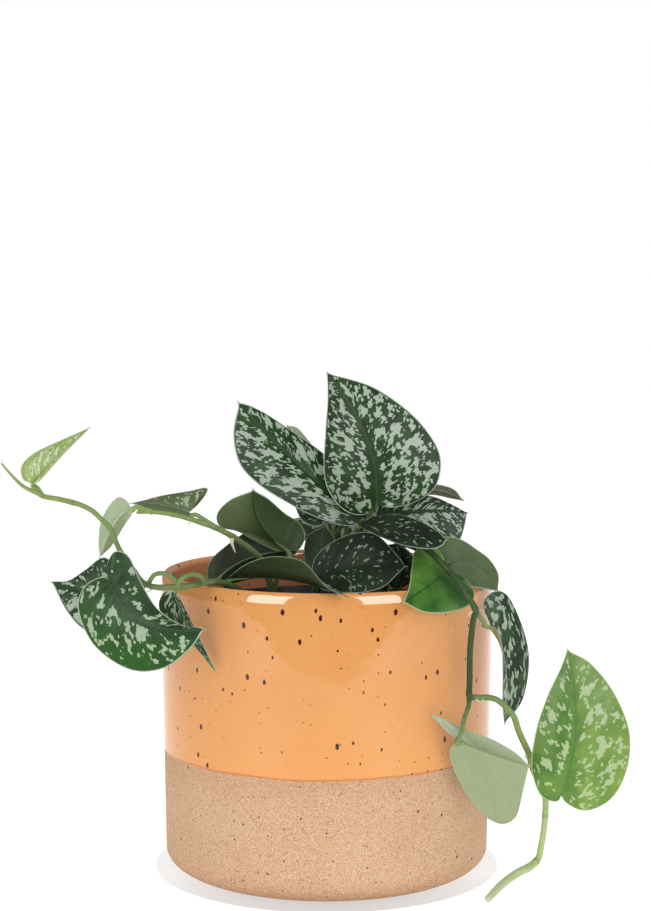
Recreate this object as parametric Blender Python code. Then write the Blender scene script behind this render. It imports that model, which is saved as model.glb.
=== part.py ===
"""A scindapsus with silver-marked leaves in a two-tone stoneware pot, at its real size.

The pot's foot stands on z = 0 and its axis is the z axis. The front is towards -y.
Lengths below are millimetres; every mesh is built in metres.
"""
import math
from collections import namedtuple

import bmesh
import bpy
from mathutils import Matrix, Vector

MM = 0.001

# Driving dimensions of the outer pot
POT_HEIGHT = 125.5
POT_TOP_RADIUS = 70.0
POT_BASE_RADIUS = 68.0
POT_WALL = 5.0
POT_FLOOR = 6.0
POT_FOOT_RADIUS = 55.0
POT_FOOT_RISE = 8.8
POT_FOOT_STEPS = 4
POT_RIM_STEPS = 6
POT_INNER_CORNER = 6.0
POT_INNER_STEPS = 3
POT_SIDES = 48

# Driving dimensions of the nursery pot, a 12 cm grower's pot
NURSERY_TOP_RADIUS = 59.0
NURSERY_BASE_RADIUS = 43.0
NURSERY_HEIGHT = 104.0
NURSERY_WALL = 1.2
NURSERY_LIP = 1.6
NURSERY_LIP_HEIGHT = 5.0
NURSERY_SIDES = 36
DRAIN_HOLES = 6
DRAIN_RADIUS = 4.5
DRAIN_RING_RADIUS = 26.0

# Driving dimensions of the soil, the stems and the blades
SOIL_DEPTH = 90.0
SOIL_RINGS = 5
SOIL_RELIEF = 1.2
SOIL_WALL_GAP = 0.5
SOIL_CHAMFER = 2.0
GAP = 0.3
STEM_RADIUS = 1.35
PETIOLE_RADIUS = 1.0
STEM_SIDES = 7
PETIOLE_SIDES = 6
STEM_STEP = 6.0
STEM_DEPTH = 12.0
STEM_HOLE_GAP = 0.45
STEM_UPRIGHT = (-3.0, 2.0)
STEM_TAPER_STEPS = 6
PETIOLE_END = 0.7
ELBOW_DEPTH = 2.6
ELBOW_SHIFT = 0.8
SHARP_ANGLE = 40
BLADE_THICKNESS = 0.7
BLADE_ROWS = 11
BLADE_COLUMNS = 3
RIB_LAG = 1.7
ARCH = 0.08
MARGIN_STEP = 2.0
NORMAL_END = 0.12

Leaf = namedtuple("Leaf", "name colour midrib left right")
Vine = namedtuple("Vine", "name tip route petioles")

# Leaf greens, linear RGB
DARK_GREEN = (0.045, 0.095, 0.045)
MID_GREEN = (0.075, 0.15, 0.05)
FRESH_GREEN = (0.13, 0.3, 0.06)
PALE_GREEN = (0.36, 0.46, 0.3)
STEM_GREEN = (0.19, 0.33, 0.1)

# Each blade: its midrib's base, middle and tip, and its left and right margins from the base round
# the lobe to the tip, as seen on the upper face with the tip up
LEAVES = [
    Leaf("leaf_crown_tall", DARK_GREEN,
         [(20.5, -14, 155.5), (16.5, -13, 182.5), (0.5, -2, 208.5)],
         [(16.5, -12, 150.5), (9, -10.5, 151), (2.5, -8.5, 157), (-1, -6.5, 166.5),
          (-0.5, -4.5, 183.5), (0.5, -2.5, 198)],
         [(25.5, -15, 153.5), (35.5, -12, 155), (45, -11, 161.5), (47.5, -9.5, 172), (44, -8.5, 181.5),
          (34.5, -6.5, 192.5), (19, -4.5, 203)]),
    Leaf("leaf_crown_left", DARK_GREEN,
         [(14.5, -3, 147.2), (-15.5, -4, 173.5), (-36.5, -10, 196.5)],
         [(8.5, -6, 144.8), (-3.5, -9.5, 148.5), (-16.5, -13.5, 155.5), (-28.5, -15, 163.5),
          (-36, -15, 172), (-38.5, -13.5, 184)],
         [(18, 1.5, 151), (11, 6, 163), (-2, 8, 174.5), (-13, 5.5, 182.5), (-24, 0, 190.5),
          (-31.5, -6, 195)]),
    Leaf("leaf_crown_under", DARK_GREEN,
         [(8.5, 0, 146), (-1, -1, 149.5), (-13.5, 0, 152.5)],
         [(6, -3.5, 145), (0, -6.5, 145.8), (-5.5, -8, 144.8), (-10.5, -6.5, 147.3)],
         [(7, 3.5, 149), (1.5, 6, 152), (-7, 4.5, 154.5)]),
    Leaf("leaf_crown_right", DARK_GREEN,
         [(21.5, -4, 148.5), (41, -6, 151), (59, -4, 150)],
         [(20.5, 0.5, 153.5), (31, 2.5, 157), (43.5, 3, 156.5), (52, 0.5, 153.5)],
         [(25, -7, 143), (33, -10.5, 136.5), (43, -11, 134), (51, -10.5, 135.5), (55.5, -9, 139),
          (58, -6.5, 145.5)]),
    Leaf("leaf_crown_near", DARK_GREEN,
         [(13, -20, 147), (31, -35, 146), (47.5, -50, 144.5)],
         [(18, -19, 149.5), (28, -21.5, 151.5), (38, -30.5, 149.5), (45, -43, 146.5)],
         [(16.5, -29, 145.5), (27.5, -45.5, 142.5), (34.5, -51, 141.5), (42, -52, 141),
          (46, -51.5, 142.5)]),
    Leaf("leaf_crown_small", MID_GREEN,
         [(32, 7, 157), (46, 7, 159), (57.5, 6, 154.5)],
         [(36.5, 9, 155), (45, 10, 156.3), (52.5, 8.5, 155)],
         [(35, 5.5, 159), (41, 4.5, 161), (48, 4, 161), (54, 4.5, 159)]),
    Leaf("leaf_crown_hidden", PALE_GREEN,
         [(1.5, 16, 151), (-8, 18, 169.5), (-17, 22, 184.8)],
         [(-4.5, 13.5, 153.5), (-10.5, 12, 163.5), (-15.5, 15.5, 175)],
         [(4, 17.5, 156.5), (0.5, 20, 167), (-9, 21.5, 180), (-13, 22, 184.2)]),
    Leaf("leaf_left_raised", MID_GREEN,
         [(-17, -16, 136.5), (-27.5, -28, 148.5), (-29.5, -38, 163)],
         [(-12, -13.5, 135.5), (-9, -12, 140.5), (-11, -13, 146.5), (-17.5, -17.5, 151.5),
          (-23.5, -26.5, 158)],
         [(-21, -17.5, 136), (-29, -20.5, 140), (-36.5, -23.5, 144.5), (-43.5, -27, 147),
          (-44.5, -29.5, 152.5), (-39, -33, 158.5)]),
    Leaf("leaf_left_dark", DARK_GREEN,
         [(-44.5, -41, 126), (-32.5, -22, 133), (-12, -5, 134.5)],
         [(-41.5, -38, 124.5), (-35.5, -28, 125), (-27, -16, 126.5), (-18.5, -9, 129)],
         [(-47.5, -40, 126.5), (-48.5, -37, 130), (-47, -34, 134), (-42.5, -28, 138), (-34, -17, 143),
          (-25.5, -8, 144)]),
    Leaf("leaf_front_long", DARK_GREEN,
         [(-40.5, -43, 127.5), (-15.5, -50, 128.5), (8, -77, 125.5)],
         [(-37.5, -40, 125.5), (-30, -37, 127), (-14.5, -40.5, 128), (-0.5, -57, 127.5)],
         [(-38.5, -44, 129), (-32, -49, 134.5), (-23, -54, 138), (-14.5, -59.5, 138.5),
          (-8, -63.5, 136.5), (-0.5, -70.5, 129)]),
    Leaf("leaf_front_dark", DARK_GREEN,
         [(-3.5, -22, 124), (14.5, -32, 131.5), (32, -38, 132)],
         [(-6, -20.5, 129), (-2, -19.5, 136.5), (9.5, -21, 143), (20, -25, 143.5), (28.5, -32.5, 136)],
         [(-2, -28.5, 121.5), (5.5, -38, 121.5), (15, -45, 122.5), (23, -45.5, 125),
          (28.5, -42, 129.5)]),
    Leaf("leaf_centre_green", MID_GREEN,
         [(-2, 0, 119), (-2.5, 4, 131), (-0.5, 6, 143.5)],
         [(2.5, -0.5, 122), (5, 0.5, 131), (3.5, 3, 138.5)],
         [(-6, 3, 121.5), (-9.5, 6.5, 130), (-8, 7, 139)]),
    Leaf("leaf_rim_right", FRESH_GREEN,
         [(48, -39, 129.5), (40, -56, 126.5), (30, -71, 122.5)],
         [(51.5, -45, 130), (55.5, -51, 128.5), (58.5, -55, 123.5), (55.5, -58, 119), (47.5, -61, 117),
          (38, -66.5, 118)],
         [(47.5, -37, 133.5), (46, -33, 137.5), (42, -31, 139), (36, -34, 138), (34, -45, 132.5),
          (32.5, -59, 127)]),
    Leaf("leaf_right_back", MID_GREEN,
         [(49.5, -33, 132), (60.5, -27, 130.5), (70.5, -22, 119.5)],
         [(51, -38, 129), (54, -46, 126), (58, -45, 125), (62.5, -40, 123.5)],
         [(45.5, -27, 137), (47, -23, 142), (55, -20.5, 141), (62.5, -17.5, 136),
          (67.5, -17, 132), (71, -18.5, 126)]),
    Leaf("leaf_right_hanging", DARK_GREEN,
         [(66.5, -38, 108), (72.5, -39, 91), (72.5, -37, 68)],
         [(63.5, -35, 116.5), (68.5, -31, 121), (74.5, -28.5, 118), (81, -26.5, 103.5),
          (83, -27.5, 90.5), (80, -31.5, 76)],
         [(68.5, -44, 107), (70, -48, 101.5), (70.5, -48, 89.5), (71, -43, 77)]),
    Leaf("leaf_right_pale", PALE_GREEN,
         [(53, -60, 65.5), (66, -60, 60), (80.5, -58, 55)],
         [(49, -57.5, 61.5), (50.5, -55, 53.5), (56, -52.5, 42.5), (63.5, -51.5, 33), (70.5, -52, 30),
          (76, -52.5, 33.5), (78.5, -55, 45)],
         [(49.5, -60, 67.5), (45, -60, 72), (41, -60, 76.5), (47.5, -59, 73.5), (55, -54.5, 69),
          (66, -55, 65), (75, -56.5, 60)]),
    Leaf("leaf_right_large", FRESH_GREEN,
         [(94, -52, 42), (99, -56, 70), (96.5, -48, 99.5)],
         [(92, -52, 39), (85.5, -52.5, 42), (82, -52, 53), (83.5, -51.5, 67), (88, -50.5, 81),
          (93.5, -49, 92.5)],
         [(96, -52, 38.5), (104, -52.5, 35.5), (114, -52.5, 40.5), (120, -52, 52), (121, -51.5, 67),
          (115, -50.5, 82.5), (105.5, -49, 94.5)]),
    Leaf("leaf_left_large", MID_GREEN,
         [(-86, -54, 128.5), (-72.5, -61, 113.5), (-48, -71, 112)],
         [(-87, -52.5, 134.5), (-84, -52, 140), (-78.5, -52, 138), (-73.5, -54, 128),
          (-66.5, -58.5, 118), (-56.5, -65, 112.5)],
         [(-89.5, -54, 130), (-96, -54, 126), (-98.5, -54, 117), (-92, -56, 103), (-78, -59, 94),
          (-64.5, -62.5, 95), (-53.5, -67, 103.5)]),
    Leaf("leaf_left_pointed", DARK_GREEN,
         [(-84.5, -38, 122.5), (-96.5, -36, 121.5), (-111.5, -34, 125)],
         [(-85.5, -40, 114), (-92, -41, 105), (-99.5, -40.5, 108), (-106, -38.5, 115.5)],
         [(-84.5, -34.5, 129.5), (-90.5, -32, 135), (-98, -31.5, 130), (-105, -32, 125.5)]),
    Leaf("leaf_left_pale", PALE_GREEN,
         [(-79.5, -31, 154.5), (-86, -30, 149), (-92, -31, 135.5)],
         [(-81, -29.5, 157.5), (-85, -28, 159), (-89.5, -27, 154.5), (-92.5, -27, 147.5),
          (-93, -29, 140)],
         [(-79.5, -28.5, 152), (-83, -24.5, 147), (-88, -25.5, 139)]),
    Leaf("leaf_left_folded", DARK_GREEN,
         [(-56, -28, 153), (-68, -28, 156), (-79.5, -27, 156.5)],
         [(-56.5, -31, 151), (-64, -36, 152.5), (-72.5, -34, 155)],
         [(-52, -24, 156.5), (-49, -20.5, 162), (-57, -18.5, 160.5), (-67, -20, 159),
          (-74, -23, 157.5)]),
    Leaf("leaf_tip_young", FRESH_GREEN,
         [(-117, -48, 166.5), (-106.5, -49, 177), (-94.5, -49, 188.5)],
         [(-121, -46.5, 168.5), (-121.5, -45, 173.5), (-116.5, -44, 178.5), (-106, -45, 183.5)],
         [(-113.5, -50.5, 168), (-108.5, -53, 173.5), (-101.5, -53.5, 181)]),
    Leaf("leaf_left_narrow", DARK_GREEN,
         [(-60, -58, 124.5), (-55.5, -56, 112.5), (-44, -57, 93)],
         [(-58, -58.5, 122.5), (-55, -59, 117), (-50.5, -59, 107.5)],
         [(-64, -56, 124.5), (-66.5, -54, 119.5), (-65, -52.5, 114), (-59, -52, 108.5),
          (-50.5, -53.5, 100)]),
    Leaf("leaf_centre_dark", DARK_GREEN,
         [(28, -20, 120.5), (31, -20, 130), (29, -19, 139.5)],
         [(25, -19, 123), (22, -18, 130), (22.5, -18, 137)],
         [(33, -22, 122), (38, -24, 128.5), (34.5, -21.5, 135.5)]),
    Leaf("leaf_back_left", DARK_GREEN,
         [(-6, 22, 138), (-20, 36, 141.5), (-33, 50, 134)],
         [(-9, 16, 136), (-20, 16, 135.5), (-31, 25, 135), (-36, 39, 135.5)],
         [(0, 24, 137), (0, 38, 140), (-8, 48, 141), (-21, 53, 138)]),
    Leaf("leaf_back_right", DARK_GREEN,
         [(24, 18, 142), (34, 34, 147), (42, 50, 132)],
         [(15, 15, 142.5), (6, 20, 147), (4, 30, 149), (10, 42, 148), (26, 51, 141)],
         [(30, 12, 140), (44, 14, 143), (53, 26, 142), (53, 40, 138)]),
    Leaf("leaf_back_low", DARK_GREEN,
         [(3, 38, 131), (3, 58, 141), (-1, 79, 128)],
         [(-4, 34, 132), (-12, 42, 136), (-14, 56, 138.5), (-9, 71, 135)],
         [(10, 36, 132), (20, 45, 137), (20, 58, 139), (10, 72, 135)]),
]

# Each stem: its thickness at the tip as a share, its route from where it leaves the soil, and each
# petiole's route from the stem's middle up to the elbow under its blade
VINES = [
    Vine(
        "vine_crown_right",
        0.5,
        [(10, 2, 98), (12, 1, 118), (15, -2, 136), (18, -4, 150)],
        [
            ("leaf_crown_tall", [(17, -4, 146), (19, -6, 152)]),
            ("leaf_crown_right", [(15.5, -2.5, 140), (18, -2, 145)]),
            ("leaf_crown_near", [(14.5, -1.5, 134), (13, -10, 140)]),
            ("leaf_crown_small", [(16.5, -3.5, 143), (24, 3, 150)]),
            ("leaf_front_dark", [(11.5, 1, 113), (6, -10, 122), (-1, -18, 126)]),
        ],
    ),
    Vine(
        "vine_crown_left",
        0.5,
        [(-8, 10, 98), (-5, 10, 116), (1, 9, 134), (8, 7, 146)],
        [
            ("leaf_crown_left", [(6, 7.5, 143), (11, 3, 147)]),
            ("leaf_crown_under", [(1, 9, 134), (7, 4, 138)]),
            ("leaf_crown_hidden", [(2, 8.5, 136), (3, 15, 145)]),
            ("leaf_centre_green", [(-7, 10, 106), (-5, 4, 112)]),
            ("leaf_back_left", [(-4, 10, 120), (-5, 18, 132)]),
            ("leaf_back_right", [(-1, 9.5, 127), (12, 14, 136)]),
            ("leaf_back_low", [(-6, 10, 110), (-4, 26, 120)]),
        ],
    ),
    Vine(
        "vine_left_high",
        0.5,
        [(-16, -10, 98), (-21, -13, 112), (-24, -18, 124), (-26.5, -25, 132.5), (-31, -30, 138),
         (-34.5, -33, 141), (-38, -36, 144), (-44.5, -40, 148), (-49.5, -42, 150), (-55.5, -42, 152),
         (-61.5, -42, 153.5), (-70, -41, 154.5), (-76.5, -38, 154)],
        [
            ("leaf_left_raised", [(-22, -14.5, 116), (-20, -20, 126), (-15.5, -20, 132.5)]),
            ("leaf_left_folded", [(-44.5, -40, 148), (-48.5, -38, 150.5), (-53, -33, 152.5)]),
            ("leaf_left_pale", [(-70, -41, 154.5), (-74.5, -38, 155.5), (-77.5, -34, 155.5)]),
        ],
    ),
    Vine(
        "vine_left_low",
        0.35,
        [(-24, -28, 98), (-26.5, -31, 110), (-33, -38, 120.5), (-40, -45, 126), (-46, -49.5, 127.5),
         (-51, -53, 127), (-54, -57, 127), (-60, -57, 126.5), (-66, -55, 126), (-70.5, -50, 126),
         (-74.5, -45, 127.5), (-79, -43, 133.5), (-83, -43, 139.5), (-85, -43, 144), (-86.5, -44, 148),
         (-90, -45, 152), (-93.5, -46, 155.5), (-98, -47, 158), (-101, -48, 159), (-106.5, -49, 160.5),
         (-111.5, -50, 161.5), (-114.5, -51, 163), (-119.5, -54, 166), (-123.5, -55, 170),
         (-128, -56, 175.5)],
        [
            ("leaf_front_long", [(-39, -44, 125.5)]),
            ("leaf_left_dark", [(-46, -49.5, 127.5), (-46.5, -46, 126.5)]),
            ("leaf_left_narrow", [(-49, -51.5, 127.5), (-49, -55, 130), (-53, -57, 131.5),
             (-57, -59, 130)]),
            ("leaf_left_large", [(-57, -57, 126.5), (-62.5, -58, 131.5), (-68, -54, 131),
             (-72, -48, 126), (-78.5, -46, 124)]),
            ("leaf_left_pointed", [(-77, -44, 130.5), (-80.5, -38, 125.5)]),
            ("leaf_tip_young", [(-113, -50, 162), (-115, -48, 164.5)]),
        ],
    ),
    Vine(
        "vine_right",
        0.9,
        [(22, -4, 98), (24, -4, 116), (27.5, -8, 132.5), (30, -14, 138.5), (34.5, -24, 141),
         (39, -37, 140), (44, -45, 136.5), (48.5, -50, 132), (52, -56, 128.5), (55.5, -61, 123),
         (58.5, -60, 118), (58, -57, 113.5), (57.5, -54, 107.5), (57, -53, 100), (57, -52, 93),
         (57, -52, 87), (57, -52, 82), (60.5, -53, 81.5), (64.5, -53, 81.5), (68, -53, 80.5),
         (71, -53, 78), (74.5, -53, 74), (77, -50, 67), (79.5, -48, 61.5), (81.5, -45, 57),
         (83.5, -41, 50), (87, -39, 42.5), (89, -39, 37), (89, -39, 30), (88.5, -39, 24),
         (87.5, -38, 16.5), (86.5, -38, 12), (83, -41, 9.5), (76.5, -47, 8), (70, -54, 5.5),
         (63.5, -64, 2.5)],
        [
            ("leaf_rim_right", [(34.5, -24, 141), (37.5, -22, 136), (42.5, -27, 130.5),
             (46, -32, 128.5)]),
            ("leaf_right_back", [(30, -14, 138.5), (38, -17, 136.5), (43.5, -25, 134), (47, -32, 132)]),
            ("leaf_centre_dark", [(23, -4, 108), (26, -12, 117)]),
            ("leaf_right_hanging", [(58.5, -60, 118), (60.5, -52, 114.5), (63.5, -43, 110)]),
            ("leaf_right_pale", [(57, -52, 82), (56, -59, 79), (54, -64, 75), (53, -65, 70.5)]),
            ("leaf_right_large", [(81.5, -45, 57), (86.5, -42, 49.5), (91, -44, 43)]),
        ],
    ),
]


def principled(name, colour, roughness, metallic=0.0):
    """A material with one base colour (linear RGB)."""
    material = bpy.data.materials.new(name)
    material.use_nodes = True
    shader = material.node_tree.nodes["Principled BSDF"]
    shader.inputs["Base Color"].default_value = (*colour, 1.0)
    shader.inputs["Roughness"].default_value = roughness
    shader.inputs["Metallic"].default_value = metallic
    return material


def add_object(name, mesh, material):
    """Put a mesh in the scene as a named object, shaded smooth where it is round."""
    mesh.materials.clear()
    mesh.materials.append(material)
    mesh.shade_smooth()
    mesh.set_sharp_from_angle(angle=math.radians(SHARP_ANGLE))
    item = bpy.data.objects.new(name, mesh)
    bpy.context.scene.collection.objects.link(item)
    return item


def mesh_from_bmesh(name, work):
    """Close a bmesh as a mesh whose faces point out."""
    bmesh.ops.recalc_face_normals(work, faces=work.faces)
    mesh = bpy.data.meshes.new(name)
    work.to_mesh(mesh)
    work.free()
    return mesh


def turned_mesh(name, profile, sides):
    """Turn a closed profile of (radius, z) round the z axis. A radius of 0 is a pole."""
    work = bmesh.new()
    rings = []
    for radius, z in profile:
        if radius == 0:
            rings.append([work.verts.new((0, 0, z * MM))])
            continue
        ring = []
        for k in range(sides):
            angle = 2 * math.pi * k / sides
            spot = (radius * math.cos(angle) * MM, radius * math.sin(angle) * MM, z * MM)
            ring.append(work.verts.new(spot))
        rings.append(ring)
    for lower, upper in zip(rings, rings[1:]):
        for k in range(sides):
            after = (k + 1) % sides
            if len(lower) == 1:
                work.faces.new((lower[0], upper[after], upper[k]))
            elif len(upper) == 1:
                work.faces.new((lower[k], lower[after], upper[0]))
            else:
                work.faces.new((lower[k], lower[after], upper[after], upper[k]))
    return mesh_from_bmesh(name, work)


def arc(centre, radius, start, end, steps):
    """Points (r, z) on a circular arc, with its angles in degrees."""
    points = []
    for k in range(steps + 1):
        angle = math.radians(start + (end - start) * k / steps)
        points.append((centre[0] + radius * math.cos(angle), centre[1] + radius * math.sin(angle)))
    return points


def wall_radius(z):
    """Outer radius of the pot's straight wall at a height."""
    return POT_BASE_RADIUS + (POT_TOP_RADIUS - POT_BASE_RADIUS) * z / POT_HEIGHT


def cachepot():
    """The outer pot: a straight wall, a rounded rim and a foot set in by a rounded edge."""
    lip = POT_WALL / 2
    rim_centre = (POT_TOP_RADIUS - lip, POT_HEIGHT - lip)
    inner_base = wall_radius(POT_FLOOR) - POT_WALL
    profile = [(0, 0), (POT_FOOT_RADIUS, 0)]
    reach = wall_radius(POT_FOOT_RISE) - POT_FOOT_RADIUS
    for k in range(1, POT_FOOT_STEPS + 1):
        turn = math.radians(90 * k / POT_FOOT_STEPS)
        profile.append((POT_FOOT_RADIUS + reach * math.sin(turn), POT_FOOT_RISE * (1 - math.cos(turn))))
    profile += arc(rim_centre, lip, 0, 180, POT_RIM_STEPS)
    inner_centre = (inner_base - POT_INNER_CORNER, POT_FLOOR + POT_INNER_CORNER)
    profile += arc(inner_centre, POT_INNER_CORNER, 0, -90, POT_INNER_STEPS)
    profile.append((0, POT_FLOOR))
    mesh = turned_mesh("cachepot", profile, POT_SIDES)
    add_object("cachepot", mesh, principled("glazed_stoneware", (0.83, 0.39, 0.12), 0.2))


def nursery_floor_z():
    return POT_FLOOR + GAP


def nursery_radius(z):
    """Outer radius of the nursery pot's wall at a height."""
    share = (z - nursery_floor_z()) / NURSERY_HEIGHT
    return NURSERY_BASE_RADIUS + (NURSERY_TOP_RADIUS - NURSERY_LIP - NURSERY_BASE_RADIUS) * share


def nursery_pot():
    """The thin grower's pot, with a turned-out lip and drain holes in its floor."""
    low = nursery_floor_z()
    top = low + NURSERY_HEIGHT
    lip_low = top - NURSERY_LIP_HEIGHT
    profile = [
        (0, low),
        (NURSERY_BASE_RADIUS, low),
        (nursery_radius(lip_low), lip_low),
        (NURSERY_TOP_RADIUS, lip_low),
        (NURSERY_TOP_RADIUS, top),
        (nursery_radius(top) - NURSERY_WALL, top),
        (nursery_radius(low + NURSERY_WALL) - NURSERY_WALL, low + NURSERY_WALL),
        (0, low + NURSERY_WALL),
    ]
    mesh = turned_mesh("nursery_pot", profile, NURSERY_SIDES)
    pot = add_object("nursery_pot", mesh, principled("black_plastic", (0.012, 0.012, 0.013), 0.45))
    spots = []
    for k in range(DRAIN_HOLES):
        angle = 2 * math.pi * k / DRAIN_HOLES
        spots.append((DRAIN_RING_RADIUS * math.cos(angle), DRAIN_RING_RADIUS * math.sin(angle)))
    cut_round_holes(pot, spots, DRAIN_RADIUS, low - 1, low + NURSERY_WALL + 1)


def cut_round_holes(item, spots, radius, low, high):
    """Cut upright round holes with one Boolean, and apply it."""
    work = bmesh.new()
    for x, y in spots:
        place = Matrix.Translation(Vector((x, y, (low + high) / 2)) * MM)
        bmesh.ops.create_cone(work, cap_ends=True, segments=12, radius1=radius * MM, radius2=radius * MM,
                              depth=(high - low) * MM, matrix=place)
    cutter = bpy.data.objects.new("hole_cutter", mesh_from_bmesh("hole_cutter", work))
    bpy.context.scene.collection.objects.link(cutter)
    cutter.hide_render = True
    cutter.display_type = "WIRE"
    modifier = item.modifiers.new("holes", "BOOLEAN")
    modifier.operation = "DIFFERENCE"
    modifier.object = cutter
    apply_modifiers(item)
    bpy.data.objects.remove(cutter)


def apply_modifiers(item):
    """Replace an object's mesh by the mesh that its modifiers give."""
    graph = bpy.context.evaluated_depsgraph_get()
    result = bpy.data.meshes.new_from_object(item.evaluated_get(graph))
    item.modifiers.clear()
    item.data = result


def soil_surface(x, y):
    """Height of the soil, a few low heaps round the stems."""
    heaps = math.sin(x / 9.0 + 0.8) * math.cos(y / 11.0) + 0.5 * math.sin((x + 2 * y) / 7.0)
    return nursery_floor_z() + NURSERY_WALL + GAP + SOIL_DEPTH + SOIL_RELIEF * heaps


def potting_soil():
    """The body of soil, with a hole for each stem that stands in it."""
    low = nursery_floor_z() + NURSERY_WALL + GAP
    level = low + SOIL_DEPTH
    foot = nursery_radius(low) - NURSERY_WALL - SOIL_WALL_GAP
    edge = nursery_radius(level) - NURSERY_WALL - SOIL_WALL_GAP
    profile = [(0, low), (foot, low), (edge, level - SOIL_CHAMFER)]
    for k in range(SOIL_RINGS):
        profile.append((edge * (1 - k / SOIL_RINGS) - GAP, level))
    profile.append((0, level))
    mesh = turned_mesh("potting_soil", profile, NURSERY_SIDES)
    for point in mesh.vertices:
        if point.co.z > (level - SOIL_CHAMFER / 2) * MM:
            point.co.z = soil_surface(point.co.x / MM, point.co.y / MM) * MM
    soil = add_object("potting_soil", mesh, principled("potting_mix", (0.035, 0.022, 0.014), 0.95))
    spots = [vine.route[0][:2] for vine in VINES]
    top = level + 2 * STEM_DEPTH
    cut_round_holes(soil, spots, STEM_RADIUS + STEM_HOLE_GAP, level - STEM_DEPTH - GAP, top)


def smooth_path(points, step):
    """Points a step apart or less along a smooth curve through the given points."""
    spots = [Vector(point) for point in points]
    ends = [2 * spots[0] - spots[1]] + spots + [2 * spots[-1] - spots[-2]]
    path = [spots[0]]
    for k in range(1, len(ends) - 2):
        before, start, end, after = ends[k - 1:k + 3]
        pieces = max(1, math.ceil((end - start).length / step))
        for i in range(1, pieces + 1):
            t = i / pieces
            path.append(0.5 * (2 * start + (end - before) * t
                               + (2 * before - 5 * start + 4 * end - after) * t * t
                               + (3 * start - before - 3 * end + after) * t ** 3))
    return path


def add_tube(work, path, radii, sides):
    """A closed tube along a path. Its rings keep their turn from one point to the next."""
    tangents = []
    for k in range(len(path)):
        tangents.append((path[min(k + 1, len(path) - 1)] - path[max(k - 1, 0)]).normalized())
    side = tangents[0].orthogonal().normalized()
    rings = []
    for spot, tangent, radius in zip(path, tangents, radii):
        side = (side - tangent * side.dot(tangent)).normalized()
        across = tangent.cross(side)
        ring = []
        for k in range(sides):
            angle = 2 * math.pi * k / sides
            offset = side * math.cos(angle) + across * math.sin(angle)
            ring.append(work.verts.new((spot + offset * radius) * MM))
        rings.append(ring)
    for lower, upper in zip(rings, rings[1:]):
        for k in range(sides):
            after = (k + 1) % sides
            work.faces.new((lower[k], lower[after], upper[after], upper[k]))
    work.faces.new(list(reversed(rings[0])))
    work.faces.new(rings[-1])


def tube_object(name, path, radii, sides):
    work = bmesh.new()
    add_tube(work, path, radii, sides)
    return bpy.data.objects.new(name, mesh_from_bmesh(name, work))


def fuse(name, items):
    """One body from overlapping ones, by a Boolean union on a collection."""
    group = bpy.data.collections.new(name + "_pieces")
    first = items[0]
    bpy.context.scene.collection.objects.link(first)
    for item in items[1:]:
        group.objects.link(item)
    bpy.context.scene.collection.children.link(group)
    if len(items) > 1:
        modifier = first.modifiers.new("union", "BOOLEAN")
        modifier.operation = "UNION"
        modifier.operand_type = "COLLECTION"
        modifier.collection = group
        apply_modifiers(first)
    mesh = first.data
    for item in items:
        bpy.data.objects.remove(item)
    bpy.data.collections.remove(group)
    mesh.name = name
    return mesh


def blade_base_frame(leaf):
    """Where a blade starts: its base, the midrib's direction and the upper face's normal."""
    surface = BladeSurface(leaf)
    return surface.midrib(0), surface.tangent(0), surface.normal(0)


def petiole_path(route, leaf):
    """A petiole's route, led to a seat just under its blade's base."""
    base, tangent, normal = blade_base_frame(leaf)
    seat = base - normal * (BLADE_THICKNESS / 2 + 2 * GAP) + tangent * ELBOW_SHIFT
    elbow = base - normal * ELBOW_DEPTH - tangent * ELBOW_SHIFT
    return smooth_path([*route, elbow, seat], STEM_STEP)


def vine_stem(vine):
    """A leafy stem's bare part: its main stem with the petioles fused on."""
    level = nursery_floor_z() + NURSERY_WALL + GAP + SOIL_DEPTH
    x, y, _ = vine.route[0]
    upright = [(x, y, level + height) for height in (-STEM_DEPTH, *STEM_UPRIGHT)]
    path = smooth_path(upright + list(vine.route[1:]), STEM_STEP)
    radii = []
    for k in range(len(path)):
        taper = min(1.0, (len(path) - 1 - k) / STEM_TAPER_STEPS + vine.tip)
        radii.append(STEM_RADIUS * taper)
    items = [tube_object(vine.name, path, radii, STEM_SIDES)]
    for leaf_name, route in vine.petioles:
        leaf = next(item for item in LEAVES if item.name == leaf_name)
        spots = petiole_path(route, leaf)
        widths = [PETIOLE_RADIUS] * (len(spots) - 1) + [PETIOLE_RADIUS * PETIOLE_END]
        items.append(tube_object(leaf_name + "_petiole", spots, widths, PETIOLE_SIDES))
    material = principled(vine.name + "_green", STEM_GREEN, 0.45)
    add_object(vine.name, fuse(vine.name, items), material)


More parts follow.
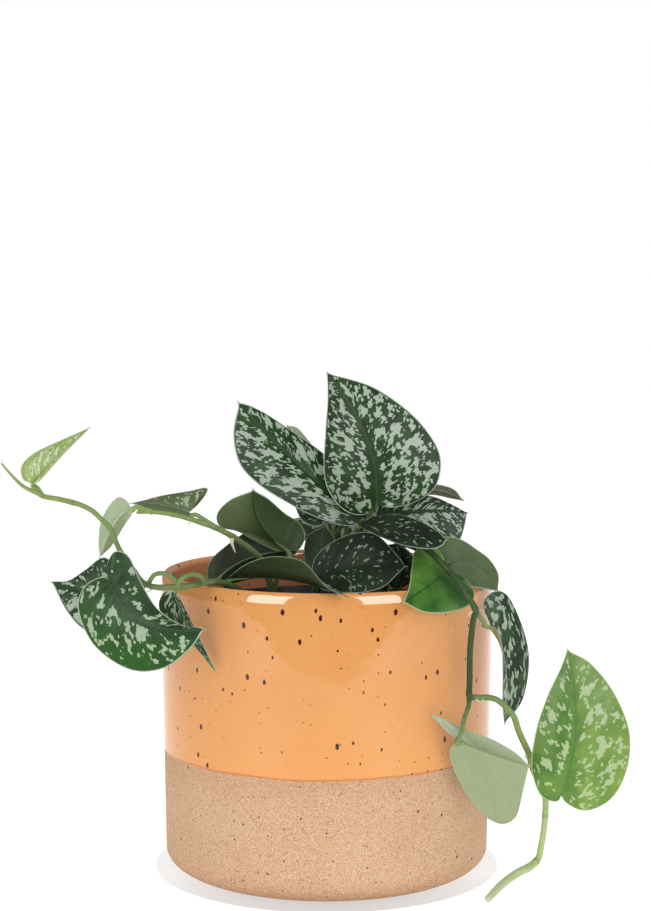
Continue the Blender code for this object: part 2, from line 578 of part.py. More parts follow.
class BladeSurface:
    """A heart-shaped blade's middle surface, in millimetres.

    The midrib bends smoothly from base to tip, and a smooth margin runs from base to tip on each
    side. Rows join points at equal shares of the two, so that they fan round the notch.
    """

    def __init__(self, leaf):
        base, middle, tip = (Vector(point) for point in leaf.midrib)
        self.base = base
        self.tip = tip
        self.pull = 2 * middle - (base + tip) / 2
        self.margins = {-1: margin_curve(base, leaf.left, tip), 1: margin_curve(base, leaf.right, tip)}

    def midrib(self, share):
        rest = 1 - share
        return self.base * rest * rest + self.pull * 2 * share * rest + self.tip * share * share

    def tangent(self, share):
        return ((self.pull - self.base) * (1 - share) + (self.tip - self.pull) * share).normalized()

    def margin(self, half, share):
        """A point at a share of a margin's length."""
        path, runs = self.margins[half]
        target = share * runs[-1]
        after = 1
        while runs[after] < target and after < len(runs) - 1:
            after += 1
        rest = (target - runs[after - 1]) / (runs[after] - runs[after - 1])
        return path[after - 1].lerp(path[after], rest)

    def normal(self, share):
        """The upper face's direction across a whole row."""
        share = min(max(share, NORMAL_END), 1 - NORMAL_END)
        across = self.margin(1, share) - self.margin(-1, share)
        return across.cross(self.tangent(share ** RIB_LAG)).normalized()

    def point(self, half, share, out):
        """A point at a share from base to tip, and out from the midrib (0) to the margin (1)."""
        rib = self.midrib(share ** RIB_LAG)
        reach = self.margin(half, share) - rib
        arch = ARCH * reach.length * math.sin(math.pi * out) * math.sin(math.pi * share)
        return rib + reach * out + self.normal(share) * arch


def margin_curve(base, points, tip):
    """A margin as a fine smooth path, with the length run at each of its points."""
    path = smooth_path([base, *points, tip], MARGIN_STEP)
    runs = [0.0]
    for start, end in zip(path, path[1:]):
        runs.append(runs[-1] + (end - start).length)
    return path, runs


def blade_mesh(leaf):
    """A blade of even thickness: the same triangles on both faces and a narrow wall round the edge."""
    surface = BladeSurface(leaf)
    spots = [surface.midrib(0)]
    for row in range(1, BLADE_ROWS):
        for column in range(-BLADE_COLUMNS, BLADE_COLUMNS + 1):
            half = -1 if column < 0 else 1
            spots.append(surface.point(half, row / BLADE_ROWS, abs(column) / BLADE_COLUMNS))
    spots.append(surface.midrib(1))
    width = 2 * BLADE_COLUMNS + 1
    triangles = []
    for column in range(width - 1):
        first = 1 + column
        triangles.append((0, first + 1, first))
        last = 1 + (BLADE_ROWS - 2) * width + column
        triangles.append((last, last + 1, len(spots) - 1))
    for row in range(BLADE_ROWS - 2):
        for column in range(width - 1):
            corner = 1 + row * width + column
            above = corner + width
            if column < BLADE_COLUMNS:
                triangles += [(corner, corner + 1, above + 1), (corner, above + 1, above)]
            else:
                triangles += [(corner, corner + 1, above), (corner + 1, above + 1, above)]
    left = [0] + [1 + row * width for row in range(BLADE_ROWS - 1)] + [len(spots) - 1]
    right = [0] + [row * width for row in range(1, BLADE_ROWS)] + [len(spots) - 1]
    return thick_mesh(leaf.name, spots, triangles, left, right)


def thick_mesh(name, spots, triangles, left, right):
    """Give a surface its thickness along its own normals, and close its edge."""
    normals = [Vector((0, 0, 0)) for _ in spots]
    for a, b, c in triangles:
        normal = (spots[b] - spots[a]).cross(spots[c] - spots[a])
        for corner in (a, b, c):
            normals[corner] += normal
    work = bmesh.new()
    upper = []
    lower = []
    for spot, normal in zip(spots, normals):
        offset = normal.normalized() * BLADE_THICKNESS / 2
        upper.append(work.verts.new((spot + offset) * MM))
        lower.append(work.verts.new((spot - offset) * MM))
    for a, b, c in triangles:
        work.faces.new((upper[a], upper[b], upper[c]))
        work.faces.new((lower[a], lower[c], lower[b]))
    for a, b in zip(left, left[1:]):
        work.faces.new((upper[a], lower[a], lower[b]))
        work.faces.new((upper[a], lower[b], upper[b]))
    for a, b in zip(right, right[1:]):
        work.faces.new((upper[a], upper[b], lower[b]))
        work.faces.new((upper[a], lower[b], lower[a]))
    return mesh_from_bmesh(name, work)


def leaves():
    """Every blade, each a solid of its own."""
    for leaf in LEAVES:
        add_object(leaf.name, blade_mesh(leaf), principled(leaf.name + "_green", leaf.colour, 0.4))


def main():
    for item in list(bpy.data.objects):
        bpy.data.objects.remove(item)
    cachepot()
    nursery_pot()
    potting_soil()
    for vine in VINES:
        vine_stem(vine)
    leaves()


main()
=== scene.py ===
"""The looks of a scindapsus with silver-marked leaves in a half-glazed stoneware pot.

The pot stands on z = 0 round the z axis, and its front is towards -y. The tables hold
millimetres; every mesh is in metres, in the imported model's own frame.
"""
import bisect
import math
from collections import namedtuple
from functools import partial

import bpy
import numpy as np
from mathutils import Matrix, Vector


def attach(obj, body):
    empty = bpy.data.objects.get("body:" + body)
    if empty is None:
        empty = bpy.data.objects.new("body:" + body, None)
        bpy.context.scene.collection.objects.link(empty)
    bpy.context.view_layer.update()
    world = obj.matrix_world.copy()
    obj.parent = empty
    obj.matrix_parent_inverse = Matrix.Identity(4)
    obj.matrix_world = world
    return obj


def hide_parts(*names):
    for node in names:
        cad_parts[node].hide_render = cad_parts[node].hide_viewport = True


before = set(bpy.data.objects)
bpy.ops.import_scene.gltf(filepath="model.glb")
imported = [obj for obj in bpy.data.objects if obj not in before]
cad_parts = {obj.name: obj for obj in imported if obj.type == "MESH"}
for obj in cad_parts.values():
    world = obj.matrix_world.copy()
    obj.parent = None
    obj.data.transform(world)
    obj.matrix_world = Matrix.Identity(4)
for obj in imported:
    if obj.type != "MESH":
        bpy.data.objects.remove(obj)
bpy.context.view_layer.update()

MM = 0.001

# Camera: an 80 mm lens at the photo's distance, a little above the pot's rim, in metres
CAMERA_PLACE = (-0.00046, -0.8488, 0.2433)
CAMERA_PITCH = 4.675
CAMERA_LENS = 80.0
CAMERA_SENSOR = 36.0

# Lights in metres: each panel's place, what it faces, its size, its power in watts, and whether
# surfaces and reflections see it. The glaze mirrors the two softboxes as the photo's soft windows.
PLANT_CENTRE = (0, 0, 0.08)
WINDOW_TARGET = (0, 0, 0.3)
LIGHTS = [
    ("left_light", (-0.9, -1.1, 0.9), PLANT_CENTRE, (1.5, 1.5), 2.7, True, False),
    ("right_light", (0.9, -1.1, 0.9), PLANT_CENTRE, (1.5, 1.5), 3.2, True, False),
    ("front_light", (0.05, -1.1, 0.34), PLANT_CENTRE, (0.9, 0.4), 1.5, True, False),
    ("top_light", (0.0, -0.2, 1.6), PLANT_CENTRE, (1.6, 1.6), 4.5, True, True),
    ("left_softbox", (-0.86, -0.98, 0.75), WINDOW_TARGET, (0.68, 1.0), 30, False, True),
    ("right_softbox", (0.79, -1.03, 0.75), WINDOW_TARGET, (0.68, 1.0), 30, False, True),
]
FLOOR_NEAR, FLOOR_FAR, FLOOR_HALF = -0.465, 1.5, 2.0

# Outer pot: its section, the slight sway that throwing leaves in it, and how far its glaze stands
# out at each height from the glaze line. The wall's points end a little before each curve.
POT_HEIGHT = 125.5
POT_TOP_RADIUS = 70.0
POT_BASE_RADIUS = 68.0
POT_WALL = 5.0
POT_FLOOR = 6.0
POT_FOOT_RADIUS = 55.0
POT_FOOT_RISE = 8.8
POT_INNER_CORNER = 6.0
POT_TURNS = 192
POT_ARC_STEPS = 12
POT_WALL_STEP = 3.0
POT_WALL_END = 1.0
POT_SWAY = 0.15
POT_SWAYS_PER_METRE = 14.0
POT_SEAM = 0.00001
LIP_FALL = 6.5
GLAZE_LINE = 51.07
GLAZE_SWELL = 0.15
GLAZE_EDGE = ((-0.5, 0.0), (-0.2, 0.02), (0.1, 0.1), (0.4, GLAZE_SWELL), (1.0, GLAZE_SWELL))

# Nursery pot and soil. The crumbs are counted by the square metre and sized in metres, and they
# lie only where the surface faces up.
NURSERY_FLOOR = 6.3
NURSERY_TOP_RADIUS = 57.4
NURSERY_BASE_RADIUS = 43.0
NURSERY_HEIGHT = 104.0
NURSERY_WALL = 1.2
SOIL_LOW = 7.8
SOIL_DEPTH = 90.0
SOIL_LEVEL = SOIL_LOW + SOIL_DEPTH
SOIL_RELIEF = 1.2
SOIL_SHOULDER = 8.0
SOIL_WALL_GAP = 0.5
SOIL_RINGS = 24
SOIL_TURNS = 96
CRUMBS = {"Density": 220000.0, "Smallest": 0.0004, "Largest": 0.0014, "Seed": 7}
CRUMB_SQUASH = {"Min": (0.7, 0.6, 0.4), "Max": (1.5, 1.1, 0.8)}
CRUMB_TURN = {"Min": (0.0, 0.0, 0.0), "Max": (6.28, 6.28, 6.28)}
CRUMB_SLOPE = 0.6

# Stems: the heights over the soil's level where each stands upright, the swelling and the scar at
# each ring, and how a stem tapers towards its rounded end
STEM_STEP = 0.8
STEM_SIDES = 14
STEM_FOOT = (-12.0, -3.0, 2.0)
STEM_TAPER = 26.0
RING_SWELL, RING_LENGTH = 0.12, 1.3
SCAR_LENGTH = 0.4
END_SHARE, END_LENGTH = 0.55, 1.6

# Petioles: a little paler than their stem, thicker at the stem and at the elbow, or knee, and then
# thin where they lie under the blade. The seats are shares of the midrib and depths under it, and
# the end is lengths as shares of what lies there, with its radius as a share at each.
PETIOLE_RADIUS = 0.95
PETIOLE_PALER = 0.04
PETIOLE_SEATS = ((0.03, 0.7), (0.1, 0.52), (0.2, 0.35))
PETIOLE_END = ((0.0, 0.35, 1.0), (0.12, 0.5, 1.0))
FOOT_SWELL, FOOT_LENGTH = 0.25, 4.0
KNEE_SWELL, KNEE_LENGTH, KNEE_SETBACK = 0.3, 1.8, 2.2
ELBOW_DROP, ELBOW_BACK = 2.0, 1.0

# Aerial roots
ROOT_STEP = 0.4
ROOT_SIDES = 8
ROOT_TAPER = 0.8

# Blades: the grid of each one; its drawn-out tip; the arch of each half; its quilting between the
# side veins, which is less on a half that is narrower than QUILT_WIDTH; the midrib's ridge below
# and groove above; the thin edge; and how far apart two blades lie in the patterns, so that no two
# blades are marked alike
BLADE_THICKNESS = 0.5
BLADE_ROWS = 56
BLADE_OUTS = (0.035, 0.075, 0.13, 0.2, 0.29, 0.39, 0.5, 0.61, 0.72, 0.82, 0.9, 0.96, 1.0)
RIB_LAG = 1.7
MARGIN_STEP = 1.0
NORMAL_END = 0.12
TIP_LENGTH = 1.3
TIP_SHARE = 0.07
TIP_WIDTH = 0.55
TIP_SHOULDER = 0.4
ARCH = 0.08
VEIN_CURVE = 0.02
VEIN_SPACING = 5.5
QUILT = 0.182
QUILT_POWER = 0.7
QUILT_WIDTH = 12
RIDGE = 0.45
GROOVE = 0.14
RIDGE_WIDTH = 0.7
RIDGE_FADE = 2.0
EDGE_THINNING = 0.45
EDGE_FADE = 1.2
EDGE_BULGE = 0.1
SHORTEST = 1e-6
PATTERN_STEP = 23.0

# Finishes: the small cells that silver fills, how patches stretch on a blade that hangs straight
# down, how strong the midrib's crease is, how each surface bends light, and a stem's tones by age
VEIN_CELL = 0.95
CELL_STRETCH = 1.15
HANGING_STRETCH = (1.0, 1.0, 0.35)
CREASE_SHARE = 0.8
LEAF_IOR = 1.22
GLAZE_IOR = 1.43
PLASTIC_IOR = 1.35
STEM_TONES = ((0.0, "#2C3B24"), (0.25, "#3F5731"), (0.45, "#6F8450"), (0.65, "#8A9E5C"),
              (0.82, "#9DB565"), (1.0, "#B9C79E"))

# Kinds of node, and the settings that many of them share
MATH, VECTOR, RANGE = "ShaderNodeMath", "ShaderNodeVectorMath", "ShaderNodeMapRange"
SPLIT, JOIN, BLEND = "ShaderNodeSeparateXYZ", "ShaderNodeCombineXYZ", "ShaderNodeMix"
NOISE, VORONOI, BUMP = "ShaderNodeTexNoise", "ShaderNodeTexVoronoi", "ShaderNodeBump"
READ, DRAW = "ShaderNodeAttribute", "FunctionNodeRandomValue"
COLOUR = {"data_type": "RGBA", "out": 2}
SOFT = {"interpolation_type": "SMOOTHSTEP"}

Leaf = namedtuple("Leaf", "name finish midrib left right")
Vine = namedtuple("Vine", "name tip girth tones rings route petioles")
Finish = namedtuple("Finish", "name slot green light lean silver margin cover bare blotch stretch "
                    "sweep band streak under shade rib crease gloss")

# What each kind of blade looks like: its slot; its two greens, which vary at random, and how far
# the lighter one keeps to the right half instead, as painted light that lights one half and shades
# the other; its silver and its margin; how much silver there is (a lower cover gives more) and how
# much less on the left half; the patches' size in mm, how far they stretch along the side veins and
# how far the side veins sweep forward, or 0 where the patches hang straight down; the plain band
# each side of the midrib in mm; how many thin streaks there are (lower gives more); its underside's
# two tones, which the same painted light and shade lays on its two halves, and its veins; its
# midrib's tone on the upper face; and its roughness
SILVERED = Finish("silver_marked_blade", "leaf_dark_green", "#1C3616", "#284B1C", 0.0, "#A2B39F",
                  "#CBD7C8", 0.535, 0.0, 4.8, 0.8, 1.0, 2.4, 0.72, "#5E7450", "#46593B", "#8FA07E",
                  "#34522C", 0.47)
STREAKED = Finish("streaked_silver_blade", "leaf_dark_green", "#233626", "#2E442B", 0.0, "#A2B29F",
                  "#CBD7C8", 0.58, 0.0, 2.6, 3.4, 1.0, 1.0, 0.58, "#4F6346", "#3E5037", "#8FA07E",
                  "#38503A", 0.47)
HANGING = Finish("drooping_streaked_blade", "leaf_dark_green", "#283B26", "#375232", 0.0,
                 "#9CAD98", "#B9C5AE", 0.57, 0.0, 1.7, 1.0, 0.0, 0.8, 1.0, "#A3B27E", "#93A472",
                 "#B5C195", "#3F5540", 0.47)
SPOTTED = Finish("large_spotted_blade", "leaf_mid_green", "#1D3A1A", "#2C581F", 0.5, "#9BAE90",
                 "#BCCBAE", 0.575, 0.02, 6.0, 0.95, 0.8, 3.2, 0.9, "#5F7650", "#4A6040", "#8FA07E",
                 "#2C4A2A", 0.45)
FAINT = Finish("shaded_dark_blade", "leaf_dark_green", "#16240F", "#1F3318", 0.0, "#7F917C",
               "#9DAE99", 0.64, 0.0, 2.8, 1.3, 1.0, 1.6, 0.85, "#33442C", "#28361F", "#6D7F61",
               "#1D2E1A", 0.58)
NARROW = Finish("narrow_streaked_blade", "leaf_dark_green", "#1F3519", "#2B4420", 0.0, "#8FA187",
                "#AEBFA4", 0.6, 0.0, 1.8, 4.0, 1.0, 0.5, 0.6, "#4F6346", "#3E5037", "#8FA07E",
                "#5F7650", 0.47)
SUNLIT = Finish("young_yellow_green_blade", "leaf_fresh_green", "#4F7A35", "#7C9C49", 0.5,
                "#A5B888", "#B9CC96", 0.57, 0.0, 5.4, 0.85, 0.8, 3.0, 0.95, "#86A05F", "#718C4C",
                "#B1C38B", "#4F7834", 0.42)
TENDER = Finish("tender_tip_blade", "leaf_fresh_green", "#93AE5C", "#A2BA6E", 0.5, "#CDD9B2",
                "#DDD3BC", 0.58, 0.0, 1.8, 2.4, 1.0, 0.8, 0.62, "#A9BC83", "#95AC6C", "#C2D09C",
                "#5E8432", 0.42)
FRESH = Finish("fresh_green_blade", "leaf_fresh_green", "#2F5C22", "#649638", 0.6, "#7FA560",
               "#B2C793", 0.8, 0.0, 2.6, 1.2, 1.0, 2.0, 0.9, "#6A8C4C", "#547338", "#A5BD84",
               "#2A5520", 0.36)
OLIVE = Finish("olive_folded_blade", "leaf_dark_green", "#62724F", "#596D46", 0.9, "#A3B08F",
               "#C3CDA8", 0.61, 0.25, 2.4, 2.6, 1.0, 1.2, 0.74, "#A5AC8C", "#8F967A", "#9AA880",
               "#8C9B74", 0.47)
GREEN_UNDER = Finish("mid_green_underside", "leaf_mid_green", "#2C4A22", "#375A2A", 0.9, "#93A78C",
                     "#A9BA90", 0.55, 0.0, 4.4, 1.5, 1.0, 1.6, 0.66, "#3F5430", "#6B7A52",
                     "#2F401C", "#34522C", 0.42)
# Painted shade: a nearly black underside, darkened for a blade that lies in shade.
NIGHT_PAINTED_SHADE_UNDER = Finish("night_painted_shade_underside", "leaf_dark_green", "#1F3320", "#2A4028", 0.9,
                     "#8A9C87", "#8B9B76", 0.56, 0.0, 3.6, 2.0, 1.0, 1.2, 0.66, "#1A2213",
                     "#465235", "#5B6552", "#34522C", 0.42)
# Painted shade: a dark veined underside, darkened for a blade that lies in shade.
ASH_PAINTED_SHADE_UNDER = NIGHT_PAINTED_SHADE_UNDER._replace(name="ash_veined_painted_shade_underside", under="#26311B", shade="#3F4335",
                                 rib="#8A8B7C", gloss=0.45)
# Painted shade: a dark olive underside, darkened for a blade that lies in shade.
OLIVE_PAINTED_SHADE_UNDER = Finish("olive_painted_shade_underside", "leaf_mid_green", "#263F1F", "#2F4D24", 0.0, "#93A78C",
                     "#93A37F", 0.56, 0.0, 4.2, 1.8, 1.0, 1.4, 0.66, "#3A472C", "#434F34",
                     "#5F6C4E", "#34522C", 0.45)
GREY_UNDER = OLIVE_PAINTED_SHADE_UNDER._replace(name="grey_green_underside", margin="#A3B08C", under="#5F714E",
                                  shade="#586945", rib="#66755A")
DRY_UNDER = OLIVE_PAINTED_SHADE_UNDER._replace(name="brown_grey_underside", green="#2C4A22", light="#375A2A",
                                 margin="#B5BFA6", under="#949479", shade="#7E8168", rib="#C5CBB6")
PALE_UNDER = Finish("waxy_pale_underside", "leaf_pale_green", "#4C6A3A", "#66814B", 0.9, "#9FB08E",
                    "#B9C5A2", 0.55, 0.0, 4.2, 1.4, 1.0, 1.5, 0.66, "#95A27C", "#A9B594",
                    "#7B8863", "#34522C", 0.47)
WHITE_UNDER = PALE_UNDER._replace(name="new_pale_underside", green="#98A68A", light="#A4B096",
                                  lean=0.0, silver="#B4BFA6", margin="#C6D0B4", under="#B0C29E",
                                  shade="#A8BB94", rib="#BCC8A9")

# Each blade: its midrib's base, middle and tip, and its left and right margins from the base round
# the lobe to the tip, as seen on the upper face with the tip up
LEAVES = [
    Leaf("leaf_crown_tall", SILVERED,
         [(20.5, -14, 155.5), (16.5, -13, 182.5), (0.5, -2, 208.5)],
         [(16.5, -12, 150.5), (9, -10.5, 151), (2.5, -8.5, 157), (-1, -6.5, 166.5),
          (-0.5, -4.5, 183.5), (0.5, -2.5, 198)],
         [(25.5, -15, 153.5), (35.5, -12, 155), (45, -11, 161.5), (47.5, -9.5, 172),
          (44, -8.5, 181.5), (34.5, -6.5, 192.5), (19, -4.5, 203)]),
    Leaf("leaf_crown_left", SILVERED,
         [(14.5, -3, 147.2), (-15.5, -4, 173.5), (-36.5, -10, 196.5)],
         [(8.5, -6, 144.8), (-3.5, -9.5, 148.5), (-16.5, -13.5, 155.5), (-28.5, -15, 163.5),
          (-36, -15, 172), (-38.5, -13.5, 184)],
         [(18, 1.5, 151), (11, 6, 163), (-2, 8, 174.5), (-13, 5.5, 182.5), (-24, 0, 190.5),
          (-31.5, -6, 195)]),
    Leaf("leaf_crown_under", STREAKED,
         [(8.5, 0, 146), (-1, -1, 149.5), (-13.5, 0, 152.5)],
         [(6, -3.5, 145), (0, -6.5, 145.8), (-5.5, -8, 144.8), (-10.5, -6.5, 147.3)],
         [(7, 3.5, 149), (1.5, 6, 152), (-7, 4.5, 154.5)]),
    Leaf("leaf_crown_right", STREAKED,
         [(21.5, -4, 148.5), (41, -6, 151), (59, -4, 150)],
         [(20.5, 0.5, 153.5), (31, 2.5, 157), (43.5, 3, 156.5), (52, 0.5, 153.5)],
         [(25, -7, 143), (33, -10.5, 136.5), (43, -11, 134), (51, -10.5, 135.5), (55.5, -9, 139),
          (58, -6.5, 145.5)]),
    Leaf("leaf_crown_near", FAINT,
         [(13, -20, 147), (31, -35, 146), (47.5, -50, 144.5)],
         [(18, -19, 149.5), (28, -21.5, 151.5), (38, -30.5, 149.5), (45, -43, 146.5)],
         [(16.5, -29, 145.5), (27.5, -45.5, 142.5), (34.5, -51, 141.5), (42, -52, 141),
          (46, -51.5, 142.5)]),
    Leaf("leaf_crown_small", DRY_UNDER,
         [(32, 7, 157), (46, 7, 159), (57.5, 6, 154.5)],
         [(36.5, 9, 155), (45, 10, 156.3), (52.5, 8.5, 155)],
         [(35, 5.5, 159), (41, 4.5, 161), (48, 4, 161), (54, 4.5, 159)]),
    Leaf("leaf_crown_hidden", WHITE_UNDER,
         [(1.5, 16, 151), (-8, 18, 169.5), (-17, 22, 184.8)],
         [(-4.5, 13.5, 153.5), (-10.5, 12, 163.5), (-15.5, 15.5, 175)],
         [(4, 17.5, 156.5), (0.5, 20, 167), (-9, 21.5, 180), (-13, 22, 184.2)]),
    Leaf("leaf_left_raised", GREEN_UNDER,
         [(-17, -16, 136.5), (-27.5, -28, 148.5), (-29.5, -38, 163)],
         [(-12, -13.5, 135.5), (-9, -12, 140.5), (-11, -13, 146.5), (-17.5, -17.5, 151.5),
          (-23.5, -26.5, 158)],
         [(-21, -17.5, 136), (-29, -20.5, 140), (-36.5, -23.5, 144.5), (-43.5, -27, 147),
          (-44.5, -29.5, 152.5), (-39, -33, 158.5)]),
    Leaf("leaf_left_dark", ASH_PAINTED_SHADE_UNDER,
         [(-44.5, -41, 126), (-32.5, -22, 133), (-12, -5, 134.5)],
         [(-41.5, -38, 124.5), (-35.5, -28, 125), (-27, -16, 126.5), (-18.5, -9, 129)],
         [(-47.5, -40, 126.5), (-48.5, -37, 130), (-47, -34, 134), (-42.5, -28, 138),
          (-34, -17, 143), (-25.5, -8, 144)]),
    Leaf("leaf_front_long", NIGHT_PAINTED_SHADE_UNDER,
         [(-40.5, -43, 127.5), (-15.5, -50, 128.5), (8, -77, 125.5)],
         [(-37.5, -40, 125.5), (-30, -37, 127), (-14.5, -40.5, 128), (-0.5, -57, 127.5)],
         [(-38.5, -44, 129), (-32, -49, 134.5), (-23, -54, 138), (-14.5, -59.5, 138.5),
          (-8, -63.5, 136.5), (-0.5, -70.5, 129)]),
    Leaf("leaf_front_dark", FAINT,
         [(-3.5, -22, 124), (14.5, -32, 131.5), (32, -38, 132)],
         [(-6, -20.5, 129), (-2, -19.5, 136.5), (9.5, -21, 143), (20, -25, 143.5),
          (28.5, -32.5, 136)],
         [(-2, -28.5, 121.5), (5.5, -38, 121.5), (15, -45, 122.5), (23, -45.5, 125),
          (28.5, -42, 129.5)]),
    Leaf("leaf_centre_green", OLIVE_PAINTED_SHADE_UNDER,
         [(-2, 0, 119), (-2.5, 4, 131), (-0.5, 6, 143.5)],
         [(2.5, -0.5, 122), (5, 0.5, 131), (3.5, 3, 138.5)],
         [(-6, 3, 121.5), (-9.5, 6.5, 130), (-8, 7, 139)]),
    Leaf("leaf_rim_right", FRESH,
         [(48, -39, 129.5), (40, -56, 126.5), (30, -71, 122.5)],
         [(51.5, -45, 130), (55.5, -51, 128.5), (58.5, -55, 123.5), (55.5, -58, 119),
          (47.5, -61, 117), (38, -66.5, 118)],
         [(47.5, -37, 133.5), (46, -33, 137.5), (42, -31, 139), (36, -34, 138), (34, -45, 132.5),
          (32.5, -59, 127)]),
    Leaf("leaf_right_back", GREY_UNDER,
         [(49.5, -33, 132), (60.5, -27, 130.5), (70.5, -22, 119.5)],
         [(51, -38, 129), (54, -46, 126), (58, -45, 125), (62.5, -40, 123.5)],
         [(45.5, -27, 137), (47, -23, 142), (55, -20.5, 141), (62.5, -17.5, 136), (67.5, -17, 132),
          (71, -18.5, 126)]),
    Leaf("leaf_right_hanging", HANGING,
         [(66.5, -38, 108), (72.5, -39, 91), (72.5, -37, 68)],
         [(63.5, -35, 116.5), (68.5, -31, 121), (74.5, -28.5, 118), (81, -26.5, 103.5),
          (83, -27.5, 90.5), (80, -31.5, 76)],
         [(68.5, -44, 107), (70, -48, 101.5), (70.5, -48, 89.5), (71, -43, 77)]),
    Leaf("leaf_right_pale", PALE_UNDER,
         [(53, -60, 65.5), (66, -60, 60), (80.5, -58, 55)],
         [(49, -57.5, 61.5), (50.5, -55, 53.5), (56, -52.5, 42.5), (63.5, -51.5, 33),
          (70.5, -52, 30), (76, -52.5, 33.5), (78.5, -55, 45)],
         [(49.5, -60, 67.5), (45, -60, 72), (41, -60, 76.5), (47.5, -59, 73.5), (55, -54.5, 69),
          (66, -55, 65), (75, -56.5, 60)]),
    Leaf("leaf_right_large", SUNLIT,
         [(94, -52, 42), (99, -56, 70), (96.5, -48, 99.5)],
         [(92, -52, 39), (85.5, -52.5, 42), (82, -52, 53), (83.5, -51.5, 67), (88, -50.5, 81),
          (93.5, -49, 92.5)],
         [(96, -52, 38.5), (104, -52.5, 35.5), (114, -52.5, 40.5), (120, -52, 52),
          (121, -51.5, 67), (115, -50.5, 82.5), (105.5, -49, 94.5)]),
    Leaf("leaf_left_large", SPOTTED,
         [(-86, -54, 128.5), (-72.5, -61, 113.5), (-48, -71, 112)],
         [(-87, -52.5, 134.5), (-84, -52, 140), (-78.5, -52, 138), (-73.5, -54, 128),
          (-66.5, -58.5, 118), (-56.5, -65, 112.5)],
         [(-89.5, -54, 130), (-96, -54, 126), (-98.5, -54, 117), (-92, -56, 103), (-78, -59, 94),
          (-64.5, -62.5, 95), (-53.5, -67, 103.5)]),
    Leaf("leaf_left_pointed", SILVERED,
         [(-84.5, -38, 122.5), (-96.5, -36, 121.5), (-111.5, -34, 125)],
         [(-85.5, -40, 114), (-92, -41, 105), (-99.5, -40.5, 108), (-106, -38.5, 115.5)],
         [(-84.5, -34.5, 129.5), (-90.5, -32, 135), (-98, -31.5, 130), (-105, -32, 125.5)]),
    Leaf("leaf_left_pale", WHITE_UNDER,
         [(-79.5, -31, 154.5), (-86, -30, 149), (-92, -31, 135.5)],
         [(-81, -29.5, 157.5), (-85, -28, 159), (-89.5, -27, 154.5), (-92.5, -27, 147.5),
          (-93, -29, 140)],
         [(-79.5, -28.5, 152), (-83, -24.5, 147), (-88, -25.5, 139)]),
    Leaf("leaf_left_folded", OLIVE,
         [(-56, -28, 153), (-68, -28, 156), (-79.5, -27, 156.5)],
         [(-56.5, -31, 151), (-64, -36, 152.5), (-72.5, -34, 155)],
         [(-52, -24, 156.5), (-49, -20.5, 162), (-57, -18.5, 160.5), (-67, -20, 159),
          (-74, -23, 157.5)]),
    Leaf("leaf_tip_young", TENDER,
         [(-117, -48, 166.5), (-106.5, -49, 177), (-94.5, -49, 188.5)],
         [(-121, -46.5, 168.5), (-121.5, -45, 173.5), (-116.5, -44, 178.5), (-106, -45, 183.5)],
         [(-113.5, -50.5, 168), (-108.5, -53, 173.5), (-101.5, -53.5, 181)]),
    Leaf("leaf_left_narrow", NARROW,
         [(-60, -58, 124.5), (-55.5, -56, 112.5), (-44, -57, 93)],
         [(-58, -58.5, 122.5), (-55, -59, 117), (-50.5, -59, 107.5)],
         [(-64, -56, 124.5), (-66.5, -54, 119.5), (-65, -52.5, 114), (-59, -52, 108.5),
          (-50.5, -53.5, 100)]),
    Leaf("leaf_centre_dark", FAINT,
         [(28, -20, 120.5), (31, -20, 130), (29, -19, 139.5)],
         [(25, -19, 123), (22, -18, 130), (22.5, -18, 137)],
         [(33, -22, 122), (38, -24, 128.5), (34.5, -21.5, 135.5)]),
    Leaf("leaf_back_left", SILVERED,
         [(-6, 22, 138), (-20, 36, 141.5), (-33, 50, 134)],
         [(-9, 16, 136), (-20, 16, 135.5), (-31, 25, 135), (-36, 39, 135.5)],
         [(0, 24, 137), (0, 38, 140), (-8, 48, 141), (-21, 53, 138)]),
    Leaf("leaf_back_right", STREAKED,
         [(24, 18, 142), (34, 34, 147), (42, 50, 132)],
         [(15, 15, 142.5), (6, 20, 147), (4, 30, 149), (10, 42, 148), (26, 51, 141)],
         [(30, 12, 140), (44, 14, 143), (53, 26, 142), (53, 40, 138)]),
    Leaf("leaf_back_low", SILVERED,
         [(3, 38, 131), (3, 58, 141), (-1, 79, 128)],
         [(-4, 34, 132), (-12, 42, 136), (-14, 56, 138.5), (-9, 71, 135)],
         [(10, 36, 132), (20, 45, 137), (20, 58, 139), (10, 72, 135)]),
]

